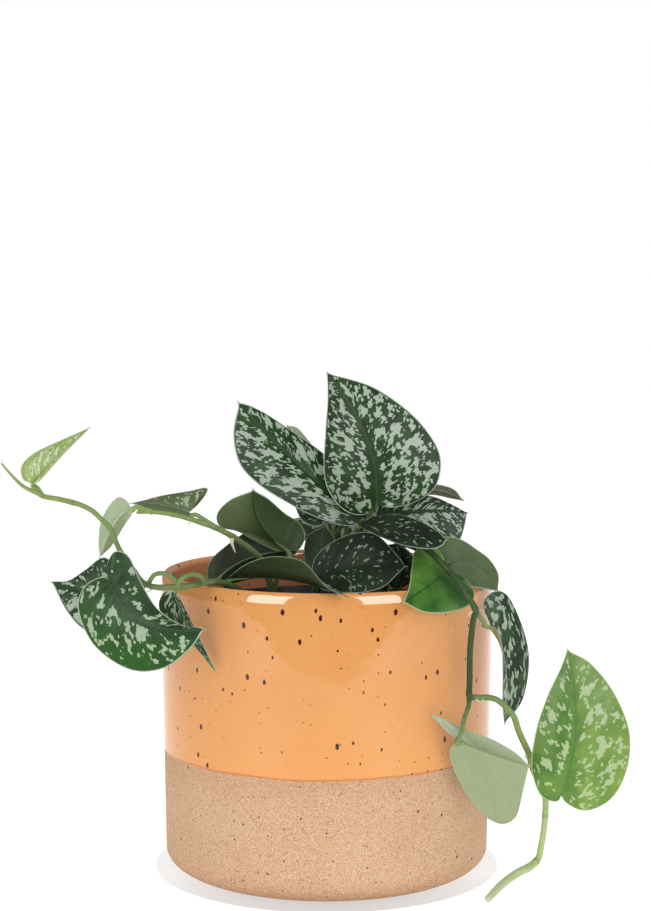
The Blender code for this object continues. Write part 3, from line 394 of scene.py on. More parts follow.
# Each stem: its thickness at the tip as a share, its radius and its tone by length, where its
# rings are, its route from the soil, and each petiole's route from the stem's middle up to the
# elbow under its blade
VINES = [
    Vine("vine_crown_right", 0.5,
         [(0, 1.35), (65, 1.2)],
         [(0, 0.1), (65, 0.45)],
         [28, 49, 55],
         [(10, 2, 98), (12, 1, 118), (15, -2, 136), (18, -4, 150)],
         [("leaf_crown_tall", [(17, -4, 146), (19, -6, 152)]),
          ("leaf_crown_right", [(15.5, -2.5, 140), (18, -2, 145)]),
          ("leaf_crown_near", [(14.5, -1.5, 134), (13, -10, 140)]),
          ("leaf_crown_small", [(16.5, -3.5, 143), (24, 3, 150)]),
          ("leaf_front_dark", [(11.5, 1, 113), (6, -10, 122), (-1, -18, 126)])]),
    Vine("vine_crown_left", 0.5,
         [(0, 1.35), (64, 1.2)],
         [(0, 0.1), (64, 0.45)],
         [20, 24, 34, 42, 50],
         [(-8, 10, 98), (-5, 10, 116), (1, 9, 134), (8, 7, 146)],
         [("leaf_crown_left", [(6, 7.5, 143), (11, 3, 147)]),
          ("leaf_crown_under", [(1, 9, 134), (7, 4, 138)]),
          ("leaf_crown_hidden", [(2, 8.5, 136), (3, 15, 145)]),
          ("leaf_centre_green", [(-7, 10, 106), (-5, 4, 112)]),
          ("leaf_back_left", [(-4, 10, 120), (-5, 18, 132)]),
          ("leaf_back_right", [(-1, 9.5, 127), (12, 14, 136)]),
          ("leaf_back_low", [(-6, 10, 110), (-4, 26, 120)])]),
    Vine("vine_left_high", 0.75,
         [(0, 1.35), (60, 1.3), (80, 1.15), (115, 1.0)],
         [(0, 0.1), (40, 0.35), (75, 0.5), (115, 0.62)],
         [32, 72, 81, 99, 108],
         [(-16, -10, 98), (-21, -13, 112), (-24, -18, 124), (-26.5, -25, 132.5), (-31, -30, 138),
          (-34.5, -33, 141), (-38, -36, 144), (-44.5, -40, 148), (-49.5, -42, 150),
          (-55.5, -42, 152), (-61.5, -42, 153.5), (-70, -41, 154.5), (-76.5, -38, 154)],
         [("leaf_left_raised", [(-22, -14.5, 116), (-20, -20, 126), (-15.5, -20, 132.5)]),
          ("leaf_left_folded", [(-44.5, -40, 148), (-48.5, -38, 150.5), (-53, -33, 152.5)]),
          ("leaf_left_pale", [(-70, -41, 154.5), (-74.5, -38, 155.5), (-77.5, -34, 155.5)])]),
    Vine("vine_left_low", 0.35,
         [(0, 1.35), (60, 1.25), (90, 1.2), (110, 1.08), (173, 1.02)],
         [(0, 0.1), (50, 0.3), (65, 0.42), (90, 0.45), (130, 0.6), (173, 0.66)],
         [49, 58, 65, 73, 100, 139, 151],
         [(-24, -28, 98), (-26.5, -31, 110), (-33, -38, 120.5), (-40, -45, 126),
          (-46, -49.5, 127.5), (-51, -53, 127), (-54, -57, 127), (-60, -57, 126.5),
          (-66, -55, 126), (-70.5, -50, 126), (-74.5, -45, 127.5), (-79, -43, 133.5),
          (-83, -43, 139.5), (-85, -43, 144), (-86.5, -44, 148), (-90, -45, 152),
          (-93.5, -46, 155.5), (-98, -47, 158), (-101, -48, 159), (-106.5, -49, 160.5),
          (-111.5, -50, 161.5), (-114.5, -51, 163), (-119.5, -54, 166), (-123.5, -55, 170),
          (-128, -56, 175.5)],
         [("leaf_front_long", [(-39, -44, 125.5)]),
          ("leaf_left_dark", [(-46, -49.5, 127.5), (-46.5, -46, 126.5)]),
          ("leaf_left_narrow", [(-49, -51.5, 127.5), (-49, -55, 130), (-53, -57, 131.5),
                                (-57, -59, 130)]),
          ("leaf_left_large", [(-57, -57, 126.5), (-62.5, -58, 131.5), (-68, -54, 131),
                               (-72, -48, 126), (-78.5, -46, 124)]),
          ("leaf_left_pointed", [(-77, -44, 130.5), (-80.5, -38, 125.5)]),
          ("leaf_tip_young", [(-113, -50, 162), (-115, -48, 164.5)])]),
    Vine("vine_right", 1.0,
         [(0, 1.4), (60, 1.35), (100, 1.25), (160, 1.2), (200, 1.3), (232, 1.25), (249, 1.3),
          (255, 1.65), (274, 1.6), (287, 1.35)],
         [(0, 0.1), (60, 0.2), (120, 0.25), (159, 0.15), (163, 0.45), (200, 0.68), (205, 0.84),
          (232, 0.9), (251, 0.88), (254, 0.93), (287, 1)],
         [22, 57, 68, 122, 160, 202, 231, 251],
         [(22, -4, 98), (24, -4, 116), (27.5, -8, 132.5), (30, -14, 138.5), (34.5, -24, 141),
          (39, -37, 140), (44, -45, 136.5), (48.5, -50, 132), (52, -56, 128.5), (55.5, -61, 123),
          (58.5, -60, 118), (58, -57, 113.5), (57.5, -54, 107.5), (57, -53, 100), (57, -52, 93),
          (57, -52, 87), (57, -52, 82), (60.5, -53, 81.5), (64.5, -53, 81.5), (68, -53, 80.5),
          (71, -53, 78), (74.5, -53, 74), (77, -50, 67), (79.5, -48, 61.5), (81.5, -45, 57),
          (83.5, -41, 50), (87, -39, 42.5), (89, -39, 37), (89, -39, 30), (88.5, -39, 24),
          (87.5, -38, 16.5), (86.5, -38, 12), (83, -41, 9.5), (76.5, -47, 8), (70, -54, 5.5),
          (63.5, -64, 2.5)],
         [("leaf_rim_right", [(34.5, -24, 141), (37.5, -22, 136), (42.5, -27, 130.5),
                              (46, -32, 128.5)]),
          ("leaf_right_back", [(30, -14, 138.5), (38, -17, 136.5), (43.5, -25, 134),
                               (47, -32, 132)]),
          ("leaf_centre_dark", [(23, -4, 108), (26, -12, 117)]),
          ("leaf_right_hanging", [(58.5, -60, 118), (60.5, -52, 114.5), (63.5, -43, 110)]),
          ("leaf_right_pale", [(57, -52, 82), (56, -59, 79), (54, -64, 75), (53, -65, 70.5)]),
          ("leaf_right_large", [(81.5, -45, 57), (86.5, -42, 49.5), (91, -44, 43)])]),
]

# How much paler a petiole is at its elbow than at its start, where that isn't ELBOW_TONE
ELBOW_TONE = 0.1
PALE_ELBOWS = {"leaf_right_hanging": 0.55, "leaf_right_pale": 0.3, "leaf_left_folded": 0.3,
               "leaf_left_pale": 0.3}

# Pieces beside the pot. They cast no shadow, because the photo shows none on the pot's wall.
BESIDE_POT = ("vine_right", "leaf_rim_right", "leaf_right_hanging", "leaf_right_pale",
              "leaf_right_large", "leaf_left_narrow", "leaf_left_large", "leaf_left_pointed")

# Short aerial roots at the stems' rings: each one's radius, and its route from the stem to its end
ROOTS = [
    (0.95, [(-38.2, -37, 143.2), (-38, -38, 141), (-36.8, -38.5, 137.8)]),
    (0.45, [(-54.6, -42.5, 151), (-55.2, -43, 149.8), (-55, -43, 148.3)]),
    (0.45, [(-69.3, -52, 125.2), (-70.4, -52.5, 124.2), (-71.6, -52.5, 123.8)]),
    (0.45, [(81.2, -45.5, 56.5), (80, -46.2, 55.8), (78.8, -46.5, 56)]),
    (0.45, [(59.5, -53.5, 81), (61.5, -54.2, 79.6), (63.4, -54.4, 79.4)]),
    (0.45, [(62, -53.8, 80.8), (62.6, -54.6, 79.4), (64, -54.8, 77.8)]),
    (0.45, [(57.2, -60.5, 117.4), (56, -61, 116.4), (55.2, -61, 114.9)]),
    (0.45, [(2.5, 8, 132), (2, 5, 131), (1, 2, 128)]),
]


def colour(code):
    """Linear RGBA from an sRGB hex colour."""
    parts = [int(code[k:k + 2], 16) / 255 for k in (1, 3, 5)]
    return (*(part / 12.92 if part <= 0.04045 else ((part + 0.055) / 1.055) ** 2.4
              for part in parts), 1.0)


def feed(item, sockets):
    """Give a node's inputs, by name or by place, a value, a hex colour or a link."""
    pairs = sockets if isinstance(sockets, dict) else dict(enumerate(sockets))
    for key, value in pairs.items():
        if isinstance(value, bpy.types.NodeSocket):
            item.id_data.links.new(value, item.inputs[key])
        else:
            is_code = isinstance(value, str) and value.startswith("#")
            item.inputs[key].default_value = colour(value) if is_code else value


def add(tree, kind, sockets=(), out=0, **settings):
    """Add a node with its settings, feed its inputs, and return one output."""
    item = tree.nodes.new(kind)
    for key, value in settings.items():
        setattr(item, key, value)
    feed(item, sockets)
    return item.outputs[out] if item.outputs else item


def new_finish(name):
    """An empty Principled material, and what adds a node to its tree."""
    material = bpy.data.materials.new(name)
    material.use_nodes = True
    return material, partial(add, material.node_tree)


def close_finish(material, node, base, rough, relief, depth, strength=1.0, ior=1.5):
    """End a material with its colour, its roughness and its relief, which is so many mm deep."""
    normal = node(BUMP, {"Height": relief, "Distance": depth * MM, "Strength": strength})
    feed(material.node_tree.nodes["Principled BSDF"],
         {"Base Color": base, "Roughness": rough, "IOR": ior, "Normal": normal})
    return material


def layered(node, base, *layers):
    """A colour with others laid over it, each as strongly as its share says."""
    for share, tint in layers:
        base = node(BLEND, {0: share, 6: base, 7: tint}, **COLOUR)
    return base


def object_mm(node):
    """The piece's own coordinates in millimetres, so a pattern's scale is 1 over its real size."""
    place = node("ShaderNodeTexCoord", out="Object")
    return node(VECTOR, {0: place, 3: 1 / MM}, operation="SCALE")


def shifted(node, place, size, reach):
    """Coordinates pushed about by noise, so that what is drawn on them gets ragged edges."""
    push = node(NOISE, {0: place, "Scale": 1 / size}, out=1)
    push = node(VECTOR, (push, (0.5, 0.5, 0.5)), operation="SUBTRACT")
    push = node(VECTOR, {0: push, 3: reach}, operation="SCALE")
    return node(VECTOR, (place, push), operation="ADD")


def specks(node, place, cell, widest, power):
    """Blobs of many sizes: 1 inside one. Each cell of the pattern holds one at most."""
    voronoi = node(VORONOI, {"Vector": place, "Scale": 1 / cell}).node
    draw = node("ShaderNodeSeparateColor", (voronoi.outputs["Color"],))
    radius = node(MATH, (draw, power), operation="POWER")
    radius = node(MATH, (radius, widest / cell), operation="MULTIPLY")
    inside = node(MATH, (radius, voronoi.outputs["Distance"]), operation="SUBTRACT")
    return node(RANGE, (inside, 0.0, 0.12 / cell), **SOFT)


def vein_coordinates(node, look, row):
    """A blade's coordinates out from its midrib and along its side veins, which sweep towards the
    tip. The last ones are for the silver, which sweeps less near the tip."""
    place = node(READ, out="Vector", attribute_name="blade_place")
    split = node(SPLIT, (place,)).node
    out = node(MATH, (split.outputs["X"],), operation="ABSOLUTE")
    bend = node(MATH, (out, -VEIN_CURVE, look.sweep), operation="MULTIPLY_ADD")
    bend = node(MATH, (bend, out), operation="MULTIPLY")
    across = node(MATH, (split.outputs["Y"], bend), operation="SUBTRACT")
    less = node(RANGE, (row, 0.3, 0.9, 0.8, -0.1))
    bend = node(MATH, (bend, less), operation="MULTIPLY")
    swept = node(MATH, (split.outputs["Y"], bend), operation="SUBTRACT")
    swept = node(JOIN, (split.outputs["X"], swept, split.outputs["Z"]))
    return place, out, across, swept


def silver_share(node, look, swept, edge, row):
    """1 where a blade is silver. Silver fills whole small cells between the fine side veins, so its
    edges are jagged. It comes as patches, dots round them and thin streaks."""
    shrink = (1 / (VEIN_CELL * CELL_STRETCH), 1 / VEIN_CELL, 1.0)
    cells = node(VECTOR, (shifted(node, swept, 1.2, 0.7), shrink), operation="MULTIPLY")
    cells = node(VORONOI, {"Vector": cells, "Scale": 1.0}, out="Position")
    cell = node(VECTOR, (cells, shrink), operation="DIVIDE")
    side = node(SPLIT, (cell,))
    less = node(RANGE, (side, 1.0, -1.0, 0.0, look.bare))
    side = node(MATH, (side,), operation="ABSOLUTE")
    band = node(RANGE, (row, 0.0, 1.2, 1.2 * look.band, 0.0))
    beyond = node(MATH, (side, band), operation="SUBTRACT")
    plain = node(RANGE, (beyond, 0.8, -0.3, 0.0, 0.4))
    less = node(MATH, (less, plain), operation="ADD")
    verge = node(RANGE, (edge, look.band + 0.6, 0.8, 0.0, 0.08))
    far = node(RANGE, (side, look.band + 2.0, look.band + 6.0, 0.0, 0.3))
    along = node(VECTOR, (cell, (1 / look.stretch, 1.0, 1.0)), operation="MULTIPLY")
    thin = node(VECTOR, (swept, (0.16, 1.0, 1.0)), operation="MULTIPLY")
    patches = node(NOISE, {0: along, "Scale": 1 / look.blotch, "Detail": 1.4, "Roughness": 0.55})
    dots = node(NOISE, {0: along, "Scale": 2.8 / look.blotch, "Detail": 0.0})
    streaks = node(NOISE, {0: thin, "Scale": 1 / 0.8, "Detail": 0.0})
    silver = 0.0
    for level, taken, start, blur in ((patches, (less, verge), look.cover, 0.004),
                                      (dots, (less,), look.cover + 0.12, 0.01),
                                      (streaks, (far, less), look.streak, 0.02)):
        for amount in taken:
            level = node(MATH, (level, amount), operation="SUBTRACT")
        share = node(RANGE, (level, start, start + blur))
        silver = node(MATH, (silver, share), operation="MAXIMUM")
    inside = node(RANGE, (edge, 0.7, 0.9))
    return node(MATH, (silver, inside), operation="MULTIPLY")


def blade_finish(look):
    """Living aroid blade: a satin, slightly waxy skin whose upper face has silver patches, where
    air lies under the skin. The underside is plain and shows its veins. As far as its finish says,
    one half of the blade is painted lighter and the other darker, as painted light and shade."""
    material, node = new_finish(look.name)
    edge, upper, row = [node(READ, out="Fac", attribute_name=name)
                        for name in ("edge_distance", "upper_face", "vein_row")]
    place, out, across, swept = vein_coordinates(node, look, row)
    if look.sweep == 0:
        swept = node(VECTOR, (object_mm(node), HANGING_STRETCH), operation="MULTIPLY")
    silver = silver_share(node, look, swept, edge, row)
    wander = node(NOISE, {0: place, "Scale": 1 / 9.0})
    vein = node(MATH, (across, 1 / VEIN_SPACING, 0.0), operation="MULTIPLY_ADD")
    vein = node(MATH, (wander, 0.6, vein), operation="MULTIPLY_ADD")
    vein = node(MATH, (vein, 0.5), operation="PINGPONG")
    vein = node(RANGE, (vein, 0.09, 0.015), **SOFT)
    rib = node(RANGE, (out, 0.55, 0.2), **SOFT)
    # Painted light and shade: as far as the finish says, one half of the blade is lighter than the
    # other.
    lean = node(RANGE, (node(SPLIT, (place,)), -3.0, 9.0), **SOFT)
    cloud = node(RANGE, (wander, 0.35, 0.65), **SOFT)
    tone = node(BLEND, {0: look.lean, 2: cloud, 3: lean})
    crease = node(MATH, (rib, CREASE_SHARE), operation="MULTIPLY")
    shine = node(NOISE, {0: place, "Scale": 1 / 2.2})
    shine = node(MATH, (shine, 0.3), operation="MULTIPLY")
    shine = layered(node, look.silver, (shine, look.margin))
    over = layered(node, look.green, (tone, look.light), (crease, look.crease), (silver, shine))
    faint = node(MATH, (vein, 0.16), operation="MULTIPLY")
    lines = node(MATH, (rib, 0.7), operation="MULTIPLY")
    lines = node(MATH, (faint, lines), operation="MAXIMUM")
    rim = node(RANGE, (edge, 0.45, 0.25), **SOFT)
    skin = layered(node, look.under, (tone, look.shade), (lines, look.rib), (upper, over),
                   (rim, look.margin))
    grain = node(NOISE, {0: place, "Scale": 1 / 0.35, "Detail": 1.0})
    rough = node(RANGE, (grain, 0.0, 1.0, look.gloss - 0.05, look.gloss + 0.08))
    height = node(MATH, (grain, 0.2), operation="MULTIPLY")
    height = node(MATH, (vein, -0.5, height), operation="MULTIPLY_ADD")
    return close_finish(material, node, skin, rough, height, 0.12, 0.6, LEAF_IOR)


def stem_finish():
    """Living stem: smooth and satin, dark green where it is old and yellow-green where it is young,
    with fine ridges along it and a paler scar at each ring."""
    material, node = new_finish("living_green_stem")
    tone, scar = [node(READ, out="Fac", attribute_name=name) for name in ("stem_tone", "stem_scar")]
    place = object_mm(node)
    cloud = node(NOISE, {0: place, "Scale": 1 / 3.0})
    cloud = node(RANGE, (cloud, 0.0, 1.0, -0.12, 0.12))
    tone = node(MATH, (tone, cloud), operation="ADD")
    green = node("ShaderNodeValToRGB", (tone,))
    bar = green.node.color_ramp
    bar.elements.remove(bar.elements[1])
    bar.elements[0].color = colour(STEM_TONES[0][1])
    for position, code in STEM_TONES[1:]:
        bar.elements.new(position).color = colour(code)
    scar = node(MATH, (scar, 0.45), operation="MULTIPLY")
    base = layered(node, green, (scar, "#5E6B3C"))
    grain = node(NOISE, {0: place, "Scale": 1 / 0.5, "Detail": 1.0})
    rough = node(RANGE, (grain, 0.0, 1.0, 0.45, 0.6))
    return close_finish(material, node, base, rough, grain, 0.1, 0.4, LEAF_IOR)


def root_finish():
    """Dry aerial root tip: cream, matte and a little wrinkled."""
    material, node = new_finish("dry_aerial_root")
    place = object_mm(node)
    cloud = node(NOISE, {0: place, "Scale": 1 / 1.2})
    wrinkle = node(NOISE, {0: place, "Scale": 1 / 0.4})
    base = layered(node, "#B9B08C", (cloud, "#E3DCC2"))
    return close_finish(material, node, base, 0.75, wrinkle, 0.1)


def glaze_colour(node, place, height, above):
    """Orange gloss glaze: fine pale mottle, a darker gathered edge and iron specks that bleed
    brown, and painted light that makes it lighter lower down the wall and on the inside wall."""
    cloud = node(NOISE, {0: place, "Scale": 1 / 26.0})
    cloud = node(RANGE, (cloud, 0.3, 0.7), **SOFT)
    # Painted light: the glaze is painted lighter lower down the wall.
    low = node(RANGE, (height, 95.0, 55.0, 0.0, 0.6))
    # Painted light: the inside wall is painted a lighter orange.
    inside = node(VECTOR, (place, (1.0, 1.0, 0.0)), operation="MULTIPLY")
    inside = node(VECTOR, (inside,), out="Value", operation="LENGTH")
    inside = node(RANGE, (inside, POT_TOP_RADIUS - 3.0, POT_TOP_RADIUS - 5.0))
    mottle = node(NOISE, {0: place, "Scale": 1 / 0.5, "Roughness": 0.6})
    mottle = node(RANGE, (mottle, 0.4, 0.75, 0.0, 0.5))
    gathered = node(RANGE, (above, 1.1, 0.3, 0.0, 0.85))
    loose = shifted(node, place, 1.1, 0.6)
    iron = specks(node, loose, 2.9, 0.45, 1.6)
    for turn, cell in ((0.6, 6.1), (-0.75, 5.3)):
        oval = node("ShaderNodeMapping", {"Vector": loose, "Rotation": (0.0, turn, 0.0),
                                          "Scale": (1.15, 1.0, 0.68)})
        iron = node(MATH, (iron, specks(node, oval, cell, 1.05, 1.5)), operation="MAXIMUM")
    return layered(node, "#DC9450", (cloud, "#E09A57"), (low, "#E99E52"), (inside, "#FFAC76"),
                   (mottle, "#EDB076"), (gathered, "#C9702C"), (iron, "#48170A"))


def clay_colour(node, place, height, sand, pits):
    """Bare sandy clay: pale and dark grit, a pinker band near the glaze line, and painted shade
    that darkens it towards the foot.
    """
    cloud = node(NOISE, {0: place, "Scale": 1 / 24.0})
    cloud = node(RANGE, (cloud, 0.3, 0.7), **SOFT)
    high = node(RANGE, (height, 40.0, 49.0, 0.0, 0.35))
    # Painted shade: the clay is painted darker towards the foot.
    low = node(RANGE, (height, 11.0, 1.0, 0.0, 0.9))
    bands = node(MATH, (high, low), operation="MAXIMUM")
    pits = node(MATH, (pits, 0.9), operation="MULTIPLY")
    dark = node(RANGE, (sand, 0.53, 0.66, 0.0, 0.75))
    pale = node(RANGE, (sand, 0.47, 0.34, 0.0, 0.75))
    return layered(node, "#CB9F78", (cloud, "#D0A781"), (bands, "#BC8760"), (dark, "#8F6641"),
                   (pale, "#F0D9BB"), (pits, "#36200F"))


def pot_finish():
    """Speckled stoneware, thrown, dipped to above its foot in an orange gloss glaze and fired. The
    glaze is smooth glass, and the bare clay below it is sandy and matte."""
    material, node = new_finish("half_glazed_speckled_stoneware")
    place = object_mm(node)
    height = node(SPLIT, (place,), out="Z")
    sway = node(NOISE, {0: place, "Scale": 1 / 26.0})
    sway = node(RANGE, (sway, 0.0, 1.0, -0.8, 0.8))
    ragged = node(NOISE, {0: place, "Scale": 1 / 1.6})
    sway = node(MATH, (ragged, 0.35, sway), operation="MULTIPLY_ADD")
    above = node(MATH, (height, sway), operation="SUBTRACT")
    above = node(MATH, (above, GLAZE_LINE + 0.15), operation="SUBTRACT")
    glazed = node(RANGE, (above, -0.12, 0.12), **SOFT)
    sand = node(NOISE, {0: place, "Scale": 1 / 0.4, "Roughness": 0.8})
    pits = node(MATH, (specks(node, place, 3.3, 0.6, 1.7), specks(node, place, 1.15, 0.32, 1.3)),
                operation="MAXIMUM")
    glaze = glaze_colour(node, place, height, above)
    clay = clay_colour(node, place, height, sand, pits)
    base = layered(node, clay, (glazed, glaze))
    rough = node(RANGE, (glazed, 0.0, 1.0, 0.85, 0.05))
    grit = node(MATH, (sand, pits), operation="SUBTRACT")
    bare = node(MATH, (1.0, glazed), operation="SUBTRACT")
    grit = node(MATH, (grit, bare), operation="MULTIPLY")
    ripple = node(NOISE, {0: place, "Scale": 1 / 7.0, "Detail": 1.0})
    ripple = node(MATH, (ripple, glazed), operation="MULTIPLY")
    grit = node(MATH, (ripple, 0.3, grit), operation="MULTIPLY_ADD")
    return close_finish(material, node, base, rough, grit, 0.2, 0.7, GLAZE_IOR)


def plastic_finish():
    """Injection-moulded black polypropylene, satin, with a faint cast texture and dust."""
    material, node = new_finish("moulded_black_polypropylene")
    place = object_mm(node)
    dust = node(NOISE, {0: place, "Scale": 1 / 6.0, "Detail": 4.0})
    dust = node(RANGE, (dust, 0.45, 0.8), **SOFT)
    base = layered(node, "#0E0F11", (dust, "#181817"))
    rough = node(RANGE, (dust, 0.0, 1.0, 0.5, 0.7))
    cast = node(NOISE, {0: place, "Scale": 1 / 0.6})
    return close_finish(material, node, base, rough, cast, 0.06, ior=PLASTIC_IOR)


def soil_finish():
    """Moist peat and bark: nearly black brown crumbs, matte, with a few pieces of bark."""
    material, node = new_finish("moist_peat_and_bark")
    place = object_mm(node)
    crumb = node(NOISE, {0: place, "Scale": 1 / 1.4, "Detail": 3.0, "Roughness": 0.65})
    share = node(RANGE, (crumb, 0.35, 0.7), **SOFT)
    bark = node(NOISE, {0: place, "Scale": 1 / 4.5, "Detail": 1.0})
    bark = node(RANGE, (bark, 0.62, 0.68), **SOFT)
    base = layered(node, "#15100C", (share, "#33261B"), (bark, "#4A3524"))
    return close_finish(material, node, base, 0.92, crumb, 0.6)


def geometry_tree(name, **inputs):
    """A Geometry Nodes tree with named inputs: what adds a node to it, and what the inputs give."""
    tree = bpy.data.node_groups.new(name, "GeometryNodeTree")
    for label, kind in {"Geometry": "Geometry", **inputs}.items():
        tree.interface.new_socket(label, in_out="INPUT", socket_type="NodeSocket" + kind)
    tree.interface.new_socket("Geometry", in_out="OUTPUT", socket_type="NodeSocketGeometry")
    return partial(add, tree), tree.nodes.new("NodeGroupInput").outputs


def close_tree(node, shape, material):
    """End a tree with smooth faces, no instances left and one material, and return the tree."""
    shape = node("GeometryNodeSetShadeSmooth", (shape,))
    shape = node("GeometryNodeRealizeInstances", (shape,))
    shape = node("GeometryNodeSetMaterial", {"Geometry": shape, "Material": material})
    return node("NodeGroupOutput", (shape,)).id_data


def grown(item, tree, values):
    """Run a tree on an object with its inputs set, and keep the plain mesh that it gives."""
    modifier = item.modifiers.new(tree.name, "NODES")
    modifier.node_group = tree
    for socket in tree.interface.items_tree:
        if socket.in_out == "INPUT" and socket.name in values:
            modifier[socket.identifier] = values[socket.name]
    graph = bpy.context.evaluated_depsgraph_get()
    mesh = bpy.data.meshes.new_from_object(item.evaluated_get(graph))
    item.modifiers.remove(modifier)
    item.data = mesh
    return item


def tube_tree():
    """Round tubes along the polylines of a mesh, as thick as its thickness attribute says."""
    node, given = geometry_tree("stems_along_their_routes", Sides="Int", Material="Material")
    thickness = node("GeometryNodeInputNamedAttribute", {"Name": "thickness"}, data_type="FLOAT")
    route = node("GeometryNodeMeshToCurve", (given["Geometry"],))
    ring = node("GeometryNodeCurvePrimitiveCircle", {"Resolution": given["Sides"], "Radius": 1.0})
    tube = node("GeometryNodeCurveToMesh", {"Curve": route, "Profile Curve": ring,
                                            "Scale": thickness, "Fill Caps": True})
    return close_tree(node, tube, given["Material"])


def turning_tree():
    """Turns a polyline in the x-z plane round the z axis, with the slight sway of hand throwing."""
    node, given = geometry_tree("wall_turned_on_a_wheel", Turns="Int", Sway="Float",
                                Material="Material")
    place = node("GeometryNodeInputPosition")
    count = node("GeometryNodeAttributeDomainSize", (given["Geometry"],))
    around = node(MATH, (given["Turns"], 1.0), operation="ADD")
    grid = node("GeometryNodeMeshGrid", (1.0, 1.0, around, count))
    spread = node(SPLIT, (place,)).node
    last = node(MATH, (count, 1.0), operation="SUBTRACT")
    index = node(MATH, (spread.outputs["Y"], 0.5), operation="ADD")
    index = node(MATH, (index, last), operation="MULTIPLY")
    index = node(MATH, (index,), operation="ROUND")
    spot = node("GeometryNodeSampleIndex",
                {"Geometry": given["Geometry"], "Value": place, "Index": index},
                data_type="FLOAT_VECTOR")
    spot = node(SPLIT, (spot,)).node
    turn = node(MATH, (spread.outputs["X"], 2 * math.pi, math.pi), operation="MULTIPLY_ADD")
    across = []
    for name in ("COSINE", "SINE"):
        share = node(MATH, (turn,), operation=name)
        across.append(node(MATH, (spot.outputs["X"], share), operation="MULTIPLY"))
    place = node(JOIN, (*across, spot.outputs["Z"]))
    throw = node(NOISE, {0: place, "Scale": POT_SWAYS_PER_METRE, "Detail": 1.0})
    throw = node(MATH, (throw, 0.5), operation="SUBTRACT")
    sway = node(MATH, (throw, given["Sway"]), operation="MULTIPLY")
    outward = node(VECTOR, (place, (1.0, 1.0, 0.0)), operation="MULTIPLY")
    outward = node(VECTOR, (outward,), operation="NORMALIZE")
    push = node(VECTOR, {0: outward, 3: sway}, operation="SCALE")
    place = node(VECTOR, (place, push), operation="ADD")
    wall = node("GeometryNodeSetPosition", {"Geometry": grid, "Position": place})
    wall = node("GeometryNodeMergeByDistance", {"Geometry": wall, "Distance": POT_SEAM})
    return close_tree(node, wall, given["Material"])


def crumb_tree():
    """Scatters crumbs over the upward faces of a mesh and keeps the mesh under them."""
    node, given = geometry_tree("crumbs_on_the_soil", Density="Float", Smallest="Float",
                                Largest="Float", Seed="Int", Material="Material")
    seed = {"Seed": given["Seed"]}
    facing = node(SPLIT, (node("GeometryNodeInputNormal"),), out="Z")
    top = node("FunctionNodeCompare", (facing, CRUMB_SLOPE), data_type="FLOAT",
               operation="GREATER_THAN")
    spots = node("GeometryNodeDistributePointsOnFaces",
                 {"Mesh": given["Geometry"], "Selection": top, "Density": given["Density"], **seed})
    crumb = node("GeometryNodeMeshIcoSphere", {"Radius": 1.0, "Subdivisions": 1})
    size = node(DRAW, {"Min": given["Smallest"], "Max": given["Largest"], **seed}, out=1,
                data_type="FLOAT")
    squash = node(DRAW, {**CRUMB_SQUASH, **seed}, data_type="FLOAT_VECTOR")
    scale = node(VECTOR, {0: squash, 3: size}, operation="SCALE")
    turn = node(DRAW, {**CRUMB_TURN, **seed}, data_type="FLOAT_VECTOR")
    crumbs = node("GeometryNodeInstanceOnPoints",
                  {"Points": spots, "Instance": crumb, "Rotation": turn, "Scale": scale})
    joined = node("GeometryNodeJoinGeometry", (given["Geometry"],))
    feed(joined.node, (crumbs,))
    return close_tree(node, joined, given["Material"])


def smooth_path(points, step):
    """Points a step apart or less along a smooth curve through the given points."""
    spots = [Vector(point) for point in points]
    ends = [2 * spots[0] - spots[1]] + spots + [2 * spots[-1] - spots[-2]]
    path = [spots[0]]
    for k in range(1, len(ends) - 2):
        before, start, end, after = ends[k - 1:k + 3]
        pieces = max(1, math.ceil((end - start).length / step))
        for i in range(1, pieces + 1):
            t = i / pieces
            path.append(0.5 * (2 * start + (end - before) * t
                               + (2 * before - 5 * start + 4 * end - after) * t * t
                               + (3 * start - before - 3 * end + after) * t ** 3))
    return path


def lengths_along(path):
    runs = [0.0]
    for start, end in zip(path, path[1:]):
        runs.append(runs[-1] + (end - start).length)
    return runs


class BladeSurface:
    """A heart-shaped blade's middle surface, in millimetres.

    The midrib bends smoothly from base to tip, and a smooth margin runs from base to tip on each
    side. Rows join points at equal shares of the two, so that they fan round the notch.
    """

    def __init__(self, leaf):
        base, middle, neck = (Vector(point) for point in leaf.midrib)
        ahead = (neck - middle).normalized()
        tip = neck + ahead * min(TIP_LENGTH, TIP_SHARE * (neck - base).length)
        self.base = base
        self.tip = tip
        self.pull = 2 * middle - (base + tip) / 2
        self.margins = {}
        across = (Vector(leaf.right[-1]) - Vector(leaf.left[-1])).normalized() * TIP_WIDTH
        for half, points in ((-1, leaf.left), (1, leaf.right)):
            shoulder = neck - ahead * TIP_SHOULDER + across * half
            path = smooth_path([base, *points, shoulder, tip], MARGIN_STEP)
            self.margins[half] = path, lengths_along(path)

    def midrib(self, share):
        rest = 1 - share
        return self.base * rest * rest + self.pull * 2 * share * rest + self.tip * share * share

    def tangent(self, share):
        return ((self.pull - self.base) * (1 - share) + (self.tip - self.pull) * share).normalized()

    def margin(self, half, share):
        """A point at a share of a margin's length."""
        path, runs = self.margins[half]
        target = share * runs[-1]
        after = min(max(bisect.bisect_left(runs, target), 1), len(runs) - 1)
        rest = (target - runs[after - 1]) / (runs[after] - runs[after - 1])
        return path[after - 1].lerp(path[after], rest)

    def normal(self, share):
        """The upper face's direction across a whole row."""
        share = min(max(share, NORMAL_END), 1 - NORMAL_END)
        across = self.margin(1, share) - self.margin(-1, share)
        return across.cross(self.tangent(share ** RIB_LAG)).normalized()


